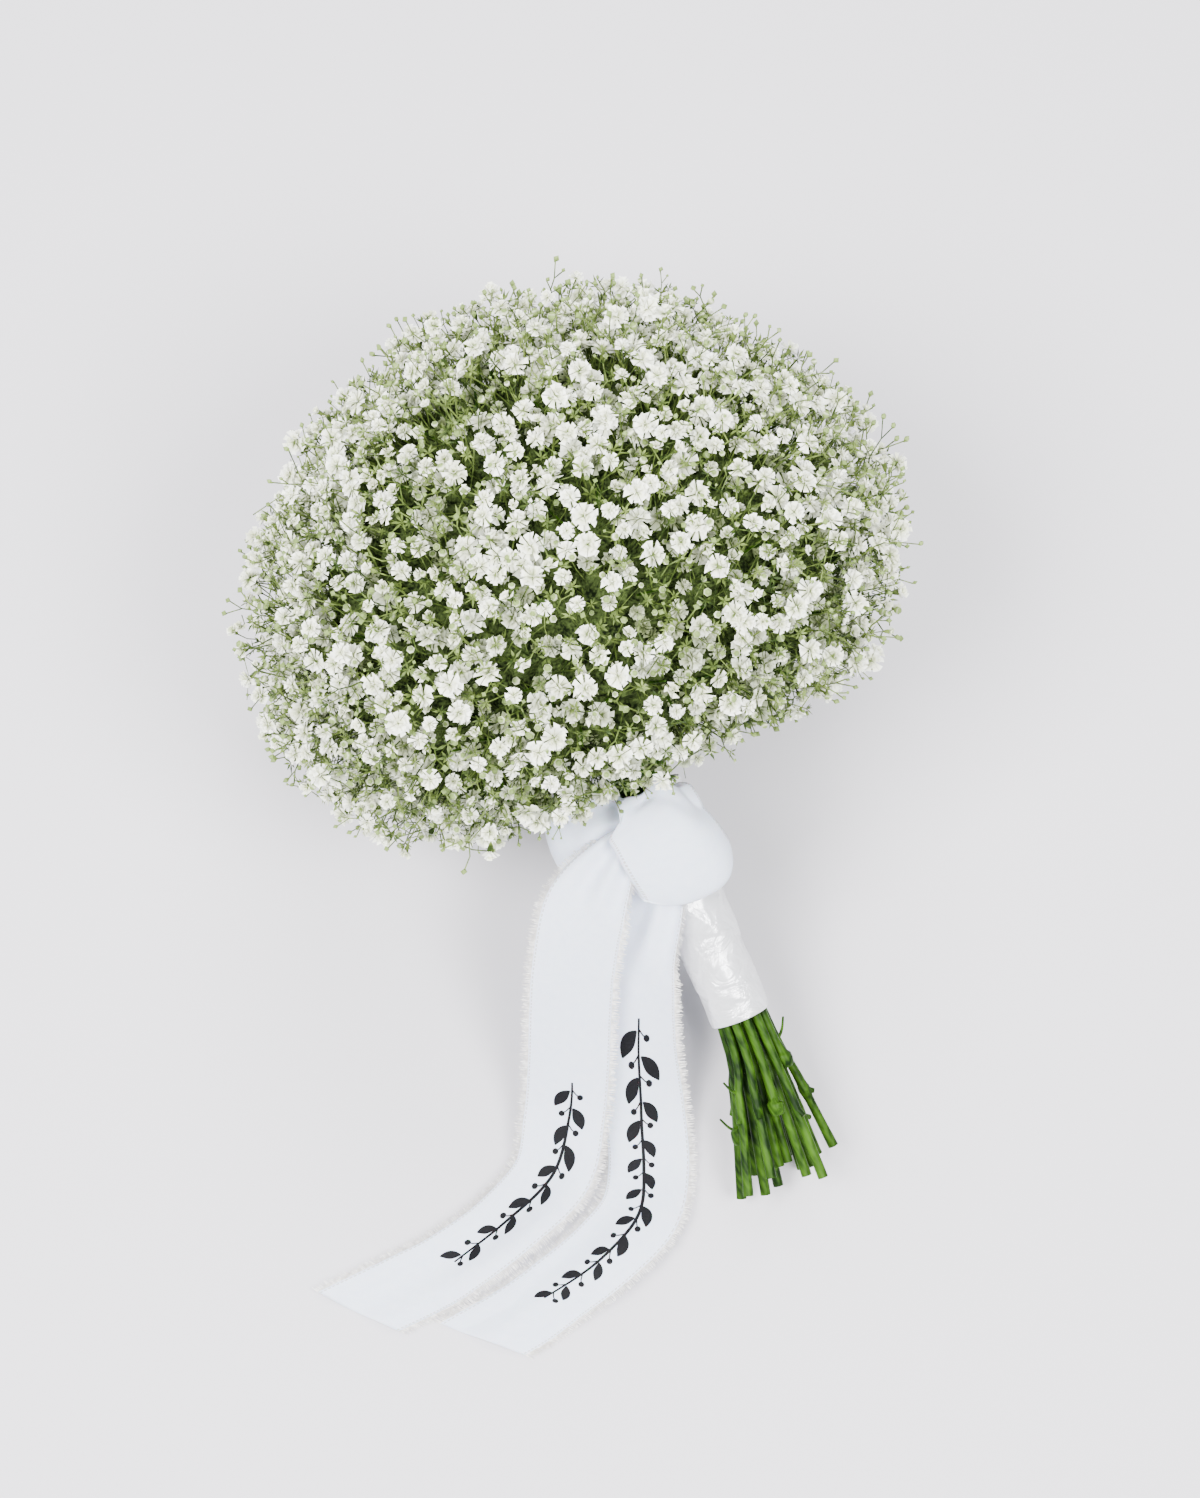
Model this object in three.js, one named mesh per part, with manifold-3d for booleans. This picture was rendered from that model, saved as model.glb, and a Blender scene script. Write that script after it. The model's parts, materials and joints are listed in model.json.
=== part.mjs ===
// A bridal bouquet of baby's breath, laid down on a table: nineteen cut stems bound at the neck, each
// branching into a cushion of small white double flowers, with a satin-wrapped handle and a ribbon bow.
// Units are millimetres and +Z is up. The handle points along -Y and the flower head along +Y.
import * as THREE from "three";
import { mergeVertices } from "three/addons/utils/BufferGeometryUtils.js";
import Module from "manifold-3d";

const wasm = await Module();
wasm.setup();

// Driving dimensions of the flower head, measured from its centre.
const HEAD_RADIUS = 146;
const HEAD_RISE = 135;
const HEAD_DROP = 104;
const HEAD_SIDE = 5;
const HEAD_CENTRE = 271;
const UNDERSIDE = 196;
const RIM = 151;

// How the bouquet lies: the height of its axis at the cut ends and at the centre of the head.
const ENDS_HEIGHT = 17;
const HEAD_HEIGHT = 127;
const TILT = Math.asin((HEAD_HEIGHT - ENDS_HEIGHT) / HEAD_CENTRE);

// The stems: rings of stems round a middle one, their pitch in the handle and at the cut ends.
const RINGS = [1, 6, 12];
const STEM_PITCH = 4.9;
const ENDS_PITCH = 9.8;
const STEM_RADIUS = 2.1;
const STEM_END_RADIUS = 2.5;
const NODE_RADII = [2.5, 3.3];
const CUT_SPREAD = 12;
const STEM_BEND = 9;
const TWIG_RADII = [1.5, 1.2, 1.2];

// A few outer stems are cut shorter than the rest, just below a knob: stem number, and the height of its cut.
const SHORT_CUTS = { 9: 50, 11: 34, 14: 26 };
const KNOB_RADIUS = 3.7;

// Heights along the axis from the cut ends.
const WRAP_BOTTOM = 78;
const WRAP_TOP = 187;
const NECK = 191;

// Each stem carries one patch of the head: the polar angles, in degrees, that part one ring from the next.
const PATCH_EDGES = [0, 23.5, 65, RIM - 3];
const PATCH_ROWS = [1, 3, 6];
const CORE_TOP = 0.83;
const CORE_BOTTOM = 0.71;
const CORE_GAP = 1.2;
const ROOT_LEVEL = 0.75;
const FLORET_TRIES = 900;
const FLORET_SPACING = 26.5;
const FLORET_RADIUS = 13.5;
const BUDS_PER_STEM = 4;
const BUD_RADIUS = 1.9;
const STALK_RADIUS = 1.7;

// The satin wrap, the binding tape under it and the ribbon.
const WRAP_TURNS = 5;
const WRAP_INNER = 12.5;
const WRAP_OUTER = 13.3;
const WRAP_GROWTH = 1.7;
const FOLD_STEP = 0.5;
const TAPE_BOTTOM = 168;
const TAPE_TOP = 184;
const RIBBON_WIDTH = 42;
const RIBBON_THICKNESS = 1;
const KNOT_WIDTH = 15;
const SEAT = 0.35;

const COLOURS = { floret: 0xf3f4ec, stem: 0x5b8c3a, tape: 0x4f7a3c, satin: 0xf4f4f6, ribbon: 0xf1f3f8 };
const LEAF_GREEN = new THREE.MeshStandardMaterial({ color: COLOURS.stem, roughness: 0.6 });
const PETAL_WHITE = new THREE.MeshStandardMaterial({ color: COLOURS.floret, roughness: 0.8 });
const TAPE_GREEN = new THREE.MeshStandardMaterial({ color: COLOURS.tape, roughness: 0.7 });
const SATIN_WHITE = new THREE.MeshStandardMaterial({ color: COLOURS.satin, roughness: 0.3 });
const CHIFFON_WHITE = new THREE.MeshStandardMaterial({ color: COLOURS.ribbon, roughness: 0.85 });

const degrees = THREE.MathUtils.degToRad;
const clamp = THREE.MathUtils.clamp;
const lerp = THREE.MathUtils.lerp;
const vec = (x, y, z) => new THREE.Vector3(x, y, z);

// A seeded draw of numbers from 0 to 1, the same on every run.
function seeded(seed) {
  let state = seed;
  return () => {
    state = (state + 0x6d2b79f5) | 0;
    let t = Math.imul(state ^ (state >>> 15), 1 | state);
    t = (t + Math.imul(t ^ (t >>> 7), 61 | t)) ^ t;
    return ((t ^ (t >>> 14)) >>> 0) / 4294967296;
  };
}

// The closed geometry as a solid that can be joined and cut, and back again.
function solidOf(geometry) {
  const bare = new THREE.BufferGeometry().setAttribute("position", geometry.getAttribute("position"));
  if (geometry.index) bare.setIndex(geometry.index);
  const merged = mergeVertices(bare, 1e-3);
  return new wasm.Manifold(
    new wasm.Mesh({
      numProp: 3,
      vertProperties: new Float32Array(merged.attributes.position.array),
      triVerts: new Uint32Array(merged.index.array),
    }),
  );
}

function geometryOf(solid) {
  const mesh = solid.getMesh();
  return new THREE.BufferGeometry()
    .setAttribute("position", new THREE.BufferAttribute(mesh.vertProperties, 3))
    .setIndex(new THREE.BufferAttribute(mesh.triVerts, 1));
}

// Height above the table of a point in the bouquet's own frame, whose Y is the axis of the handle.
const UP = vec(0, Math.sin(TILT), Math.cos(TILT));
const heightOf = (point) => ENDS_HEIGHT + point.dot(UP);

// The point, lifted straight up where it would be lower than `clearance` above the table.
function lifted(point, clearance) {
  return point.clone().addScaledVector(UP, Math.max(0, clearance - heightOf(point)));
}

// The head's outline: how far it reaches from its centre in a direction `polar` from the axis.
function headReach(polar) {
  const rise = polar < Math.PI / 2 ? HEAD_RISE : HEAD_DROP;
  const dome = 1 / Math.hypot(Math.sin(polar) / HEAD_RADIUS, Math.cos(polar) / rise);
  const flat = (HEAD_CENTRE - UNDERSIDE) / Math.max(-Math.cos(polar), 0.01);
  return polar < Math.PI / 2 ? dome : Math.min(dome, flat);
}

// A point in the head at a share `level` of the way from its centre to its outline.
function headPoint(polar, azimuth, level) {
  const reach = level * headReach(polar);
  return vec(
    HEAD_SIDE + reach * Math.sin(polar) * Math.cos(azimuth),
    HEAD_CENTRE + reach * Math.cos(polar),
    reach * Math.sin(polar) * Math.sin(azimuth),
  );
}

// The direction in which the outline faces there.
function headFacing(polar, azimuth) {
  const step = 0.02;
  const down = headPoint(polar + step, azimuth, 1).sub(headPoint(polar - step, azimuth, 1));
  const round = vec(-Math.sin(azimuth), 0, Math.cos(azimuth));
  return new THREE.Vector3().crossVectors(down, round).normalize().negate();
}

// The patches of the head, one for each stem, numbered from the middle outwards.
function patches() {
  const list = [];
  RINGS.forEach((count, ring) => {
    const low = degrees(PATCH_EDGES[ring]);
    const high = degrees(PATCH_EDGES[ring + 1]);
    for (let i = 0; i < count; i++) {
      const turn = (2 * Math.PI) / count;
      list.push({ ring, low, high, azimuth: i * turn, half: turn / 2, number: list.length + 1 });
    }
  });
  return list;
}

// The difference of two azimuths, from -PI to PI.
const turnFrom = (a, b) => THREE.MathUtils.euclideanModulo(a - b + Math.PI, 2 * Math.PI) - Math.PI;

function patchOf(list, polar, azimuth) {
  return list.find(
    (p) => polar >= p.low && polar < p.high && Math.abs(turnFrom(azimuth, p.azimuth)) <= p.half + 1e-9,
  );
}

// The unit frame along a line of points: the tangent, and two normals carried along without twist.
function framesAlong(points, startNormal) {
  const frames = [];
  let normal = startNormal;
  points.forEach((point, i) => {
    const before = points[Math.max(i - 1, 0)];
    const after = points[Math.min(i + 1, points.length - 1)];
    const tangent = after.clone().sub(before).normalize();
    normal = normal.clone().addScaledVector(tangent, -normal.dot(tangent)).normalize();
    frames.push({ point, tangent, normal, across: normal.clone().cross(tangent) });
  });
  return frames;
}

// A cylinder bent along a line of points, with its own radius at each point.
function bentTube(points, radii, sides, startNormal = vec(1, 0, 0.01)) {
  const steps = points.length - 1;
  const geometry = new THREE.CylinderGeometry(1, 1, 1, sides, steps);
  const frames = framesAlong(points, startNormal);
  const position = geometry.getAttribute("position");
  for (let i = 0; i < position.count; i++) {
    const ring = Math.round((position.getY(i) + 0.5) * steps);
    const { point, normal, across } = frames[ring];
    const bent = point
      .clone()
      .addScaledVector(normal, position.getX(i) * radii[ring])
      .addScaledVector(across, position.getZ(i) * radii[ring]);
    position.setXYZ(i, bent.x, bent.y, bent.z);
  }
  return solidOf(geometry);
}

// A flat band bent along a line of points. `sides` gives its width direction and `widths` its width there.
// `droop` lets its edges hang. `slants` lets its left edge run ahead of its right one, over the table.
function bentBand(points, sides, widths, thickness, droop = 0, slants = null) {
  const steps = points.length - 1;
  const across = droop ? 4 : 1;
  const geometry = new THREE.BoxGeometry(1, 1, 1, across, 1, steps);
  const position = geometry.getAttribute("position");
  for (let i = 0; i < position.count; i++) {
    const ring = Math.round((position.getZ(i) + 0.5) * steps);
    const before = points[Math.max(ring - 1, 0)];
    const after = points[Math.min(ring + 1, steps)];
    const tangent = after.clone().sub(before).normalize();
    const side = sides[ring].clone().addScaledVector(tangent, -sides[ring].dot(tangent)).normalize();
    const face = tangent.clone().cross(side);
    const sag = droop * (2 * position.getX(i)) ** 2 * (widths[ring] / RIBBON_WIDTH) ** 2;
    const bent = points[ring]
      .clone()
      .addScaledVector(side, position.getX(i) * widths[ring])
      .addScaledVector(face, position.getY(i) * thickness);
    bent.z -= sag;
    if (slants) {
      bent.addScaledVector(tangent, -position.getX(i) * widths[ring] * slants[ring]);
      bent.z = Math.max(bent.z, (position.getY(i) + 0.5) * thickness);
    }
    position.setXYZ(i, bent.x, bent.y, bent.z);
  }
  return solidOf(geometry);
}

// A grid of points over a patch of the head between two levels, closed all round, as one solid.
function patchBlock(patch, margin, top, bottom) {
  const middle = (patch.low + patch.high) / 2;
  const polarGap = margin / headReach(middle);
  const low = patch.ring ? patch.low + polarGap : 0;
  const high = patch.high - polarGap;
  const geometry = new THREE.BoxGeometry(1, 1, 1, patch.ring === 1 ? 3 : 2, 1, PATCH_ROWS[patch.ring]);
  const position = geometry.getAttribute("position");
  for (let i = 0; i < position.count; i++) {
    const polar = lerp(low, high, position.getZ(i) + 0.5);
    const girth = headReach(polar) * Math.max(Math.sin(polar), 0.2);
    const half = patch.half - margin / girth;
    const level = position.getY(i) > 0 ? top : bottom;
    const point = headPoint(polar, patch.azimuth - 2 * half * position.getX(i), level);
    position.setXYZ(i, point.x, point.y, point.z);
  }
  return solidOf(geometry);
}

// The middle patch is a round cap: a pyramid of two levels with as many sides as the next ring has patches.
function capBlock(patch, margin, top, bottom) {
  const high = patch.high - margin / headReach(patch.high);
  const geometry = new THREE.CylinderGeometry(1, 1, 1, RINGS[1] * 2, 1);
  const position = geometry.getAttribute("position");
  for (let i = 0; i < position.count; i++) {
    const [x, y, z] = [position.getX(i), position.getY(i), position.getZ(i)];
    const point = headPoint(high * Math.hypot(x, z), Math.atan2(z, x), y > 0 ? top : bottom);
    position.setXYZ(i, point.x, point.y, point.z);
  }
  return solidOf(geometry);
}

const coreOf = (patch, grow) =>
  (patch.ring ? patchBlock : capBlock)(patch, CORE_GAP - grow, CORE_TOP, CORE_BOTTOM - grow / HEAD_RADIUS);

// A flower or a bud on its stalk as one closed body: a crown of `petals`, a raised middle, a cup below it
// and a three-sided stalk that narrows into the root.
function onStalk({ at, facing, spin, petals, radius, notch, crown, cup, root }) {
  const count = petals * (notch < 1 ? 2 : 1);
  const side = new THREE.Vector3().crossVectors(facing, vec(0.3, 0.2, 1)).normalize();
  const across = new THREE.Vector3().crossVectors(side, facing);
  const place = (angle, reach, rise) =>
    at
      .clone()
      .addScaledVector(side, Math.cos(angle) * reach)
      .addScaledVector(across, Math.sin(angle) * reach)
      .addScaledVector(facing, rise);
  const points = [];
  for (let i = 0; i < count; i++) {
    const inner = notch < 1 && i % 2;
    const reach = radius * (inner ? notch : 1);
    points.push(place(spin + (i / count) * 2 * Math.PI, reach, inner ? crown * 0.35 : 0));
  }
  for (let i = 0; i < 3; i++) {
    points.push(place(spin + (i / 3) * 2 * Math.PI, Math.min(STALK_RADIUS, radius * 0.6), -cup));
  }
  points.push(place(0, 0, crown), root);
  const [middle, tip] = [count + 3, count + 4];
  const nearest = (i) => count + (Math.round((i / count) * 3) % 3);
  const faces = [];
  for (let i = 0; i < count; i++) {
    const next = (i + 1) % count;
    faces.push(next, i, middle, i, next, nearest(i));
    if (nearest(next) !== nearest(i)) faces.push(nearest(i), next, nearest(next));
  }
  for (let i = 0; i < 3; i++) faces.push(count + i, count + ((i + 1) % 3), tip);
  const pressed = points.map((p) => lifted(p, 0));
  const geometry = new THREE.BufferGeometry().setFromPoints(pressed).setIndex(faces);
  return solidOf(geometry);
}

// Where the flowers sit: places of a dense even spiral over the head, each kept if it is clear of the last.
function floretSeats() {
  const seats = [];
  const golden = Math.PI * (3 - Math.sqrt(5));
  const random = seeded(11);
  for (let i = 0; i < FLORET_TRIES; i++) {
    const polar = Math.acos(1 - ((i + 0.5) / FLORET_TRIES) * (1 - Math.cos(degrees(RIM))));
    const azimuth = THREE.MathUtils.euclideanModulo(i * golden, 2 * Math.PI);
    const at = headPoint(polar, azimuth, 0.955 + 0.035 * random());
    if (seats.some((other) => other.at.distanceTo(at) < FLORET_SPACING)) continue;
    seats.push({ polar, azimuth, at, lean: vec(random(), random(), random()) });
  }
  for (const seat of seats) {
    const gaps = seats.map((other) => (other === seat ? Infinity : seat.at.distanceTo(other.at)));
    seat.radius = Math.min(FLORET_RADIUS, Math.min(...gaps) * 0.495);
  }
  return seats;
}

// The root of a stalk: inside the patch's own core, as stalks spread from their branch.
function rootFor(patch, polar, azimuth) {
  const polarRoom = 3.4 / headReach(polar);
  const azimuthRoom = 3.4 / (headReach(polar) * Math.max(Math.sin(polar), 0.2));
  const lowest = patch.ring ? patch.low + polarRoom : 0;
  const inside = clamp(polar, lowest, patch.high - polarRoom);
  const turn = clamp(turnFrom(azimuth, patch.azimuth), -patch.half + azimuthRoom, patch.half - azimuthRoom);
  return headPoint(inside, patch.azimuth + turn, CORE_BOTTOM + 0.025);
}

// One stem's flowers: its core of packed twigs, with the flowers and a few buds standing out of it.
function floretsOf(patch, seats) {
  const random = seeded(100 + patch.number);
  const own = seats.filter((seat) => patchOf([patch], Math.min(seat.polar, patch.high - 1e-6), seat.azimuth));
  const mine = patch.ring === RINGS.length - 1 ? own : own.filter((seat) => seat.polar < patch.high);
  const parts = [coreOf(patch, 0)];
  for (const seat of mine) {
    const lean = seat.lean.clone().subScalar(0.5).multiplyScalar(0.5);
    const facing = headFacing(seat.polar, seat.azimuth).add(lean).normalize();
    parts.push(
      onStalk({
        at: lifted(seat.at, 3.6),
        facing,
        spin: random() * 2 * Math.PI,
        petals: 5,
        radius: seat.radius,
        notch: 0.8,
        crown: 4.6,
        cup: 5,
        root: rootFor(patch, seat.polar, seat.azimuth),
      }),
    );
  }
  for (let i = 0; i < BUDS_PER_STEM; i++) parts.push(budOf(patch, seats, random));
  return wasm.Manifold.union(parts);
}

// A bud on a thin stalk, in the roomiest of a few drawn places between the flowers.
function budOf(patch, seats, random) {
  let best = null;
  for (let tries = 0; tries < 40; tries++) {
    const polar = lerp(patch.low, patch.high, patch.ring ? 0.15 + 0.7 * random() : 0.2 + 0.6 * random());
    const azimuth = patch.azimuth + patch.half * (patch.ring ? 0.7 : 1) * (2 * random() - 1);
    const at = headPoint(polar, azimuth, 1.02 + 0.05 * random());
    const room = Math.min(...seats.map((seat) => seat.at.distanceTo(at)));
    if (!best || room > best.room) best = { polar, azimuth, at, room };
  }
  seats.push(best);
  return onStalk({
    at: lifted(best.at, BUD_RADIUS),
    facing: headFacing(best.polar, best.azimuth),
    spin: random() * 2 * Math.PI,
    petals: 5,
    radius: BUD_RADIUS,
    notch: 1,
    crown: 2,
    cup: 2.4,
    root: rootFor(patch, best.polar, best.azimuth),
  });
}

// The point where a stem of this patch crosses a height of the handle, `pitch` being the gap of its rings.
const stemAt = (patch, height, pitch) =>
  vec(Math.cos(patch.azimuth) * patch.ring * pitch, height, Math.sin(patch.azimuth) * patch.ring * pitch);

// One green stem: its cut end, a swollen node with the stub of a side twig, its run through the handle,
// and three branches that reach the core of its flowers. Below the wrap the stems curve to the left,
// the left ones most.
function stemOf(patch) {
  const random = seeded(500 + patch.number);
  const short = SHORT_CUTS[patch.number];
  const cut = short ?? CUT_SPREAD * random();
  const node = short ? short + 5.5 : lerp(24, 60, random());
  const wander = vec(random() - 0.5, 0, random() - 0.5).multiplyScalar(4);
  const pitchAt = (height) => lerp(ENDS_PITCH, STEM_PITCH, clamp(height / WRAP_BOTTOM, 0, 1));
  const free = (height) => {
    const below = 1 - height / WRAP_BOTTOM;
    const point = stemAt(patch, height, pitchAt(height)).addScaledVector(wander, below);
    return point.setX(point.x - STEM_BEND * (1 - point.x / 45) * Math.max(below, 0) ** 1.4);
  };
  const forkPolar = patch.ring === 2 ? degrees(104) : (patch.low + patch.high) / 2;
  const fork = patch.ring ? headPoint(forkPolar, patch.azimuth, 0.36) : headPoint(0, 0, 0.3);
  const route = [cut, node - 4, node, node + 4].map(free);
  route.push(stemAt(patch, WRAP_BOTTOM, STEM_PITCH));
  const tips = branchSpots(patch).map(([polar, azimuth]) => headPoint(polar, azimuth, ROOT_LEVEL));
  const atNeck = stemAt(patch, NECK, STEM_PITCH);
  route.push(atNeck, atNeck.clone().lerp(fork, 0.35), fork, tips[0]);
  const nodeRadius = short ? KNOB_RADIUS : lerp(...NODE_RADII, random() ** 2);
  const below = short ? KNOB_RADIUS - 0.4 : STEM_RADIUS + 0.1;
  const radii = [STEM_END_RADIUS, below, nodeRadius, STEM_RADIUS + 0.2, STEM_RADIUS, STEM_RADIUS];
  radii.push(1.9, 1.7, 1.2);
  const points = route.map((p, i) => lifted(p, radii[i]));
  const parts = [bentTube(points, radii, 5)];
  for (const tip of tips.slice(1)) {
    parts.push(bentTube([fork, fork.clone().lerp(tip, 0.5), tip], TWIG_RADII, 3));
  }
  if (patch.ring === RINGS.length - 1) parts.push(stubOf(patch, points[2], random));
  return wasm.Manifold.union(parts).subtract(coreOf(patch, SEAT));
}

// Where the three branches of a stem enter its core, as polar angle and azimuth.
function branchSpots(patch) {
  if (!patch.ring) return [0, 1, 2].map((i) => [degrees(13), (i * 2 * Math.PI) / 3]);
  const middle = (patch.low + patch.high) / 2;
  const spread = (patch.high - patch.low) / 4;
  return [
    [middle - spread, patch.azimuth],
    [middle + spread * 0.6, patch.azimuth + patch.half * 0.5],
    [middle + spread * 0.6, patch.azimuth - patch.half * 0.5],
  ];
}

// The stub that is left where a side twig was cut from a node, pointing outwards and down the stem.
function stubOf(patch, from, random) {
  const out = vec(Math.cos(patch.azimuth), 0, Math.sin(patch.azimuth));
  const tip = from.clone().addScaledVector(out, 4 + 2 * random());
  tip.y -= 3 + 3 * random();
  return bentTube([from, lifted(tip, 1.4)], [1.6, 1.3], 4);
}

// A ring turned about the axis from a closed outline of radius and height pairs.
function turned(outline, sides) {
  const profile = outline.map(([radius, height]) => new THREE.Vector2(radius, height));
  profile.push(profile[0].clone());
  return solidOf(new THREE.LatheGeometry(profile, sides));
}

// The satin: each turn of the wrap laps over the one below it, and the handle thickens towards the neck.
function satinWrap() {
  const outline = [[WRAP_INNER, WRAP_BOTTOM]];
  for (let i = 0; i < WRAP_TURNS; i++) {
    const low = lerp(WRAP_BOTTOM, WRAP_TOP, i / WRAP_TURNS);
    const high = lerp(WRAP_BOTTOM, WRAP_TOP, (i + 1) / WRAP_TURNS);
    const base = WRAP_OUTER + (WRAP_GROWTH * i) / (WRAP_TURNS - 1);
    outline.push([base + FOLD_STEP, low], [base, high]);
  }
  const recess = WRAP_INNER + 1.6;
  outline.push([recess, WRAP_TOP], [recess, TAPE_BOTTOM - SEAT], [WRAP_INNER, TAPE_BOTTOM - SEAT]);
  return turned(outline, 14);
}

// The floral tape that binds the stems, under the top of the wrap.
function bindingTape() {
  const [inner, outer] = [WRAP_INNER, WRAP_INNER + 1.6 - SEAT];
  return turned([[inner, TAPE_BOTTOM], [outer, TAPE_BOTTOM], [outer, TAPE_TOP], [inner, TAPE_TOP]], 16);
}

// The ribbon's band round the neck, with the knot on its upper left.
const BAND_BOTTOM = 170;
const BAND_TOP = 182;
const BAND_INNER = WRAP_OUTER + WRAP_GROWTH + FOLD_STEP + SEAT;
const KNOT = vec(-7, 176, 18.5);

function knot(grow) {
  const ball = new THREE.SphereGeometry(1, 10, 6);
  ball.scale(8 + grow, KNOT_WIDTH / 2 + grow, 5 + grow).translate(KNOT.x, KNOT.y, KNOT.z);
  return solidOf(ball);
}

function ribbonTie() {
  const [inner, outer] = [BAND_INNER, BAND_INNER + RIBBON_THICKNESS];
  const band = [[inner, BAND_BOTTOM], [outer, BAND_BOTTOM], [outer, BAND_TOP], [inner, BAND_TOP]];
  const bore = new THREE.CylinderGeometry(inner, inner, 60, 16).translate(0, KNOT.y, 0);
  return turned(band, 16).add(knot(0).subtract(solidOf(bore)));
}

// Points along a smooth line through `marks`, and the widths that go with them.
function smooth(marks, steps) {
  return new THREE.CatmullRomCurve3(marks, false, "centripetal").getPoints(steps);
}

// The ribbon is gathered at the knot and opens to its full width.
const gathered = (steps, end, share) =>
  Array.from({ length: steps + 1 }, (_, i) => {
    const near = Math.min(i / steps, end - i / steps);
    return lerp(KNOT_WIDTH * 0.8, RIBBON_WIDTH, THREE.MathUtils.smoothstep(near, 0, share));
  });

const STEPS = 16;
const TAIL_STEPS = 20;

function bow(marks, side, droop) {
  const line = smooth(marks.map((mark) => vec(...mark)), STEPS);
  const band = bentBand(line, line.map(() => side), gathered(STEPS, 1, 0.2), RIBBON_THICKNESS, droop);
  return band.subtract(knot(SEAT));
}

// The front loop is a pouch that covers the knot and hangs down the handle; the other hangs at the left side.
const FRONT_MARKS = [
  [-5, 181, 23], [-2, 189, 28], [1, 179, 34], [4, 162, 35], [7, 147, 32], [8, 140, 27], [6, 147, 22.5],
  [2, 160, 22], [-3, 172, 22],
];
const SIDE_MARKS = [
  [-9, 178, 19], [-28, 177, 16], [-44, 171, 3], [-47, 169, -7], [-42, 169, -11], [-30, 173, -3],
  [-18, 177, 12], [-13, 177, 16],
];
const frontLoop = () => bow(FRONT_MARKS, vec(0.94, 0.3, 0), 2);
const sideLoop = () => bow(SIDE_MARKS, vec(-0.2, 1, 0), 0);

// A tail falls from the knot to the table and lies along it. `marks` are points it passes, each with the
// slope across its width there, and `opening` is the share of its length on which it opens to its full
// width. Its end is cut on a slant, and soft folds along it draw the end in.
const END_SLANT = 0.8;
const SLANT_SHARE = 0.3;
const DRAWN_IN = 0.82;

function tail(marks, opening) {
  const line = smooth(marks.map(([x, y, z]) => vec(x, y, z)), TAIL_STEPS);
  const banks = smooth(marks.map((mark, i) => vec(i * 10, mark[3] * 10, 0)), TAIL_STEPS);
  const slants = line.map(
    (_, i) => END_SLANT * THREE.MathUtils.smoothstep(i / TAIL_STEPS, 1 - SLANT_SHARE, 1),
  );
  const sides = line.map((point, i) => {
    const along = line[Math.min(i + 1, line.length - 1)].clone().sub(line[Math.max(i - 1, 0)]);
    const side = vec(-along.y, along.x, 0).normalize();
    return side.setZ(banks[i].y / 10);
  });
  const lying = line.map((point) => vec(point.x, point.y, Math.max(point.z, RIBBON_THICKNESS / 2)));
  const widths = gathered(TAIL_STEPS, 2, opening).map(
    (width, i) => width * lerp(1, DRAWN_IN, THREE.MathUtils.smoothstep(i / TAIL_STEPS, 0.6, 0.85)),
  );
  const band = bentBand(lying, sides, widths, RIBBON_THICKNESS, 0, slants);
  const laidKnot = geometryOf(knot(SEAT)).rotateX(TILT).translate(0, 0, ENDS_HEIGHT);
  return band.subtract(solidOf(laidKnot));
}

// The outer tail hangs over the left edge of the inner one.
const OUTER_MARKS = [
  [-12, 152, 109, 0], [-28.1, 144, 106, 0], [-47.3, 131.2, 95, -0.05], [-60.4, 115.1, 74, -0.05],
  [-68.4, 101.6, 55, 0], [-76.4, 86.5, 34, 0], [-86, 70.5, 16, 0.05], [-101.5, 50, 7, 0.2],
  [-129.5, 38, 7, 0.28], [-156.5, 33.2, 3.6, 0.12], [-178.4, 32.6, 0.5, 0], [-203.5, 32.2, 0.5, 0],
];
const INNER_MARKS = [
  [-5, 150, 104, 0.2], [-9, 139, 97, 0.3], [-18, 124.5, 85.5, 0.3], [-35, 105.5, 65, 0.3],
  [-45.6, 83, 35, 0.2], [-52.4, 58.4, 11, 0.05], [-60.3, 36.8, 2.5, 0.05], [-73.5, 19, 4, 0.15],
  [-96, 9.2, 5, 0.2], [-119, 4, 2.5, 0.08], [-139, 0.4, 0.5, 0], [-159, -1.7, 0.5, 0],
];
const outerTail = () => tail(OUTER_MARKS, 0.2);
const innerTail = () => tail(INNER_MARKS, 0.3);

function mesh(name, solid, material) {
  const made = new THREE.Mesh(geometryOf(solid), material);
  made.name = name;
  return made;
}

// The bouquet tilts about its cut ends so that its head rests on the table too.
const bouquet = new THREE.Group();
bouquet.rotation.x = TILT;
bouquet.position.z = ENDS_HEIGHT;
const seats = floretSeats();
for (const patch of patches()) {
  const number = String(patch.number).padStart(2, "0");
  bouquet.add(mesh("stem_" + number, stemOf(patch), LEAF_GREEN));
  bouquet.add(mesh("florets_" + number, floretsOf(patch, seats), PETAL_WHITE));
}
bouquet.add(mesh("binding_tape", bindingTape(), TAPE_GREEN));
bouquet.add(mesh("satin_wrap", satinWrap(), SATIN_WHITE));
bouquet.add(mesh("ribbon_tie", ribbonTie(), CHIFFON_WHITE));
bouquet.add(mesh("bow_loop_front", frontLoop(), CHIFFON_WHITE));
bouquet.add(mesh("bow_loop_side", sideLoop(), CHIFFON_WHITE));

const part = new THREE.Group();
part.add(bouquet);
part.add(mesh("ribbon_tail_outer", outerTail(), CHIFFON_WHITE));
part.add(mesh("ribbon_tail_inner", innerTail(), CHIFFON_WHITE));

// The origin goes to the middle of the bottom of the whole, on the table.
const bounds = new THREE.Box3().setFromObject(part, true);
part.position.set(-(bounds.min.x + bounds.max.x) / 2, -(bounds.min.y + bounds.max.y) / 2, -bounds.min.z);

export default part;
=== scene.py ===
# %% [markdown]
# # A bridal bouquet of baby's breath
#
# The bouquet lies on a pale table: a cushion of small white double flowers, a handle of green stems wound
# with satin, and a chiffon bow with two long tails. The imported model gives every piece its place. This
# script loads it first, so that each piece made here can be set against it, and empties the scene of
# whatever Blender starts with.

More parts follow.
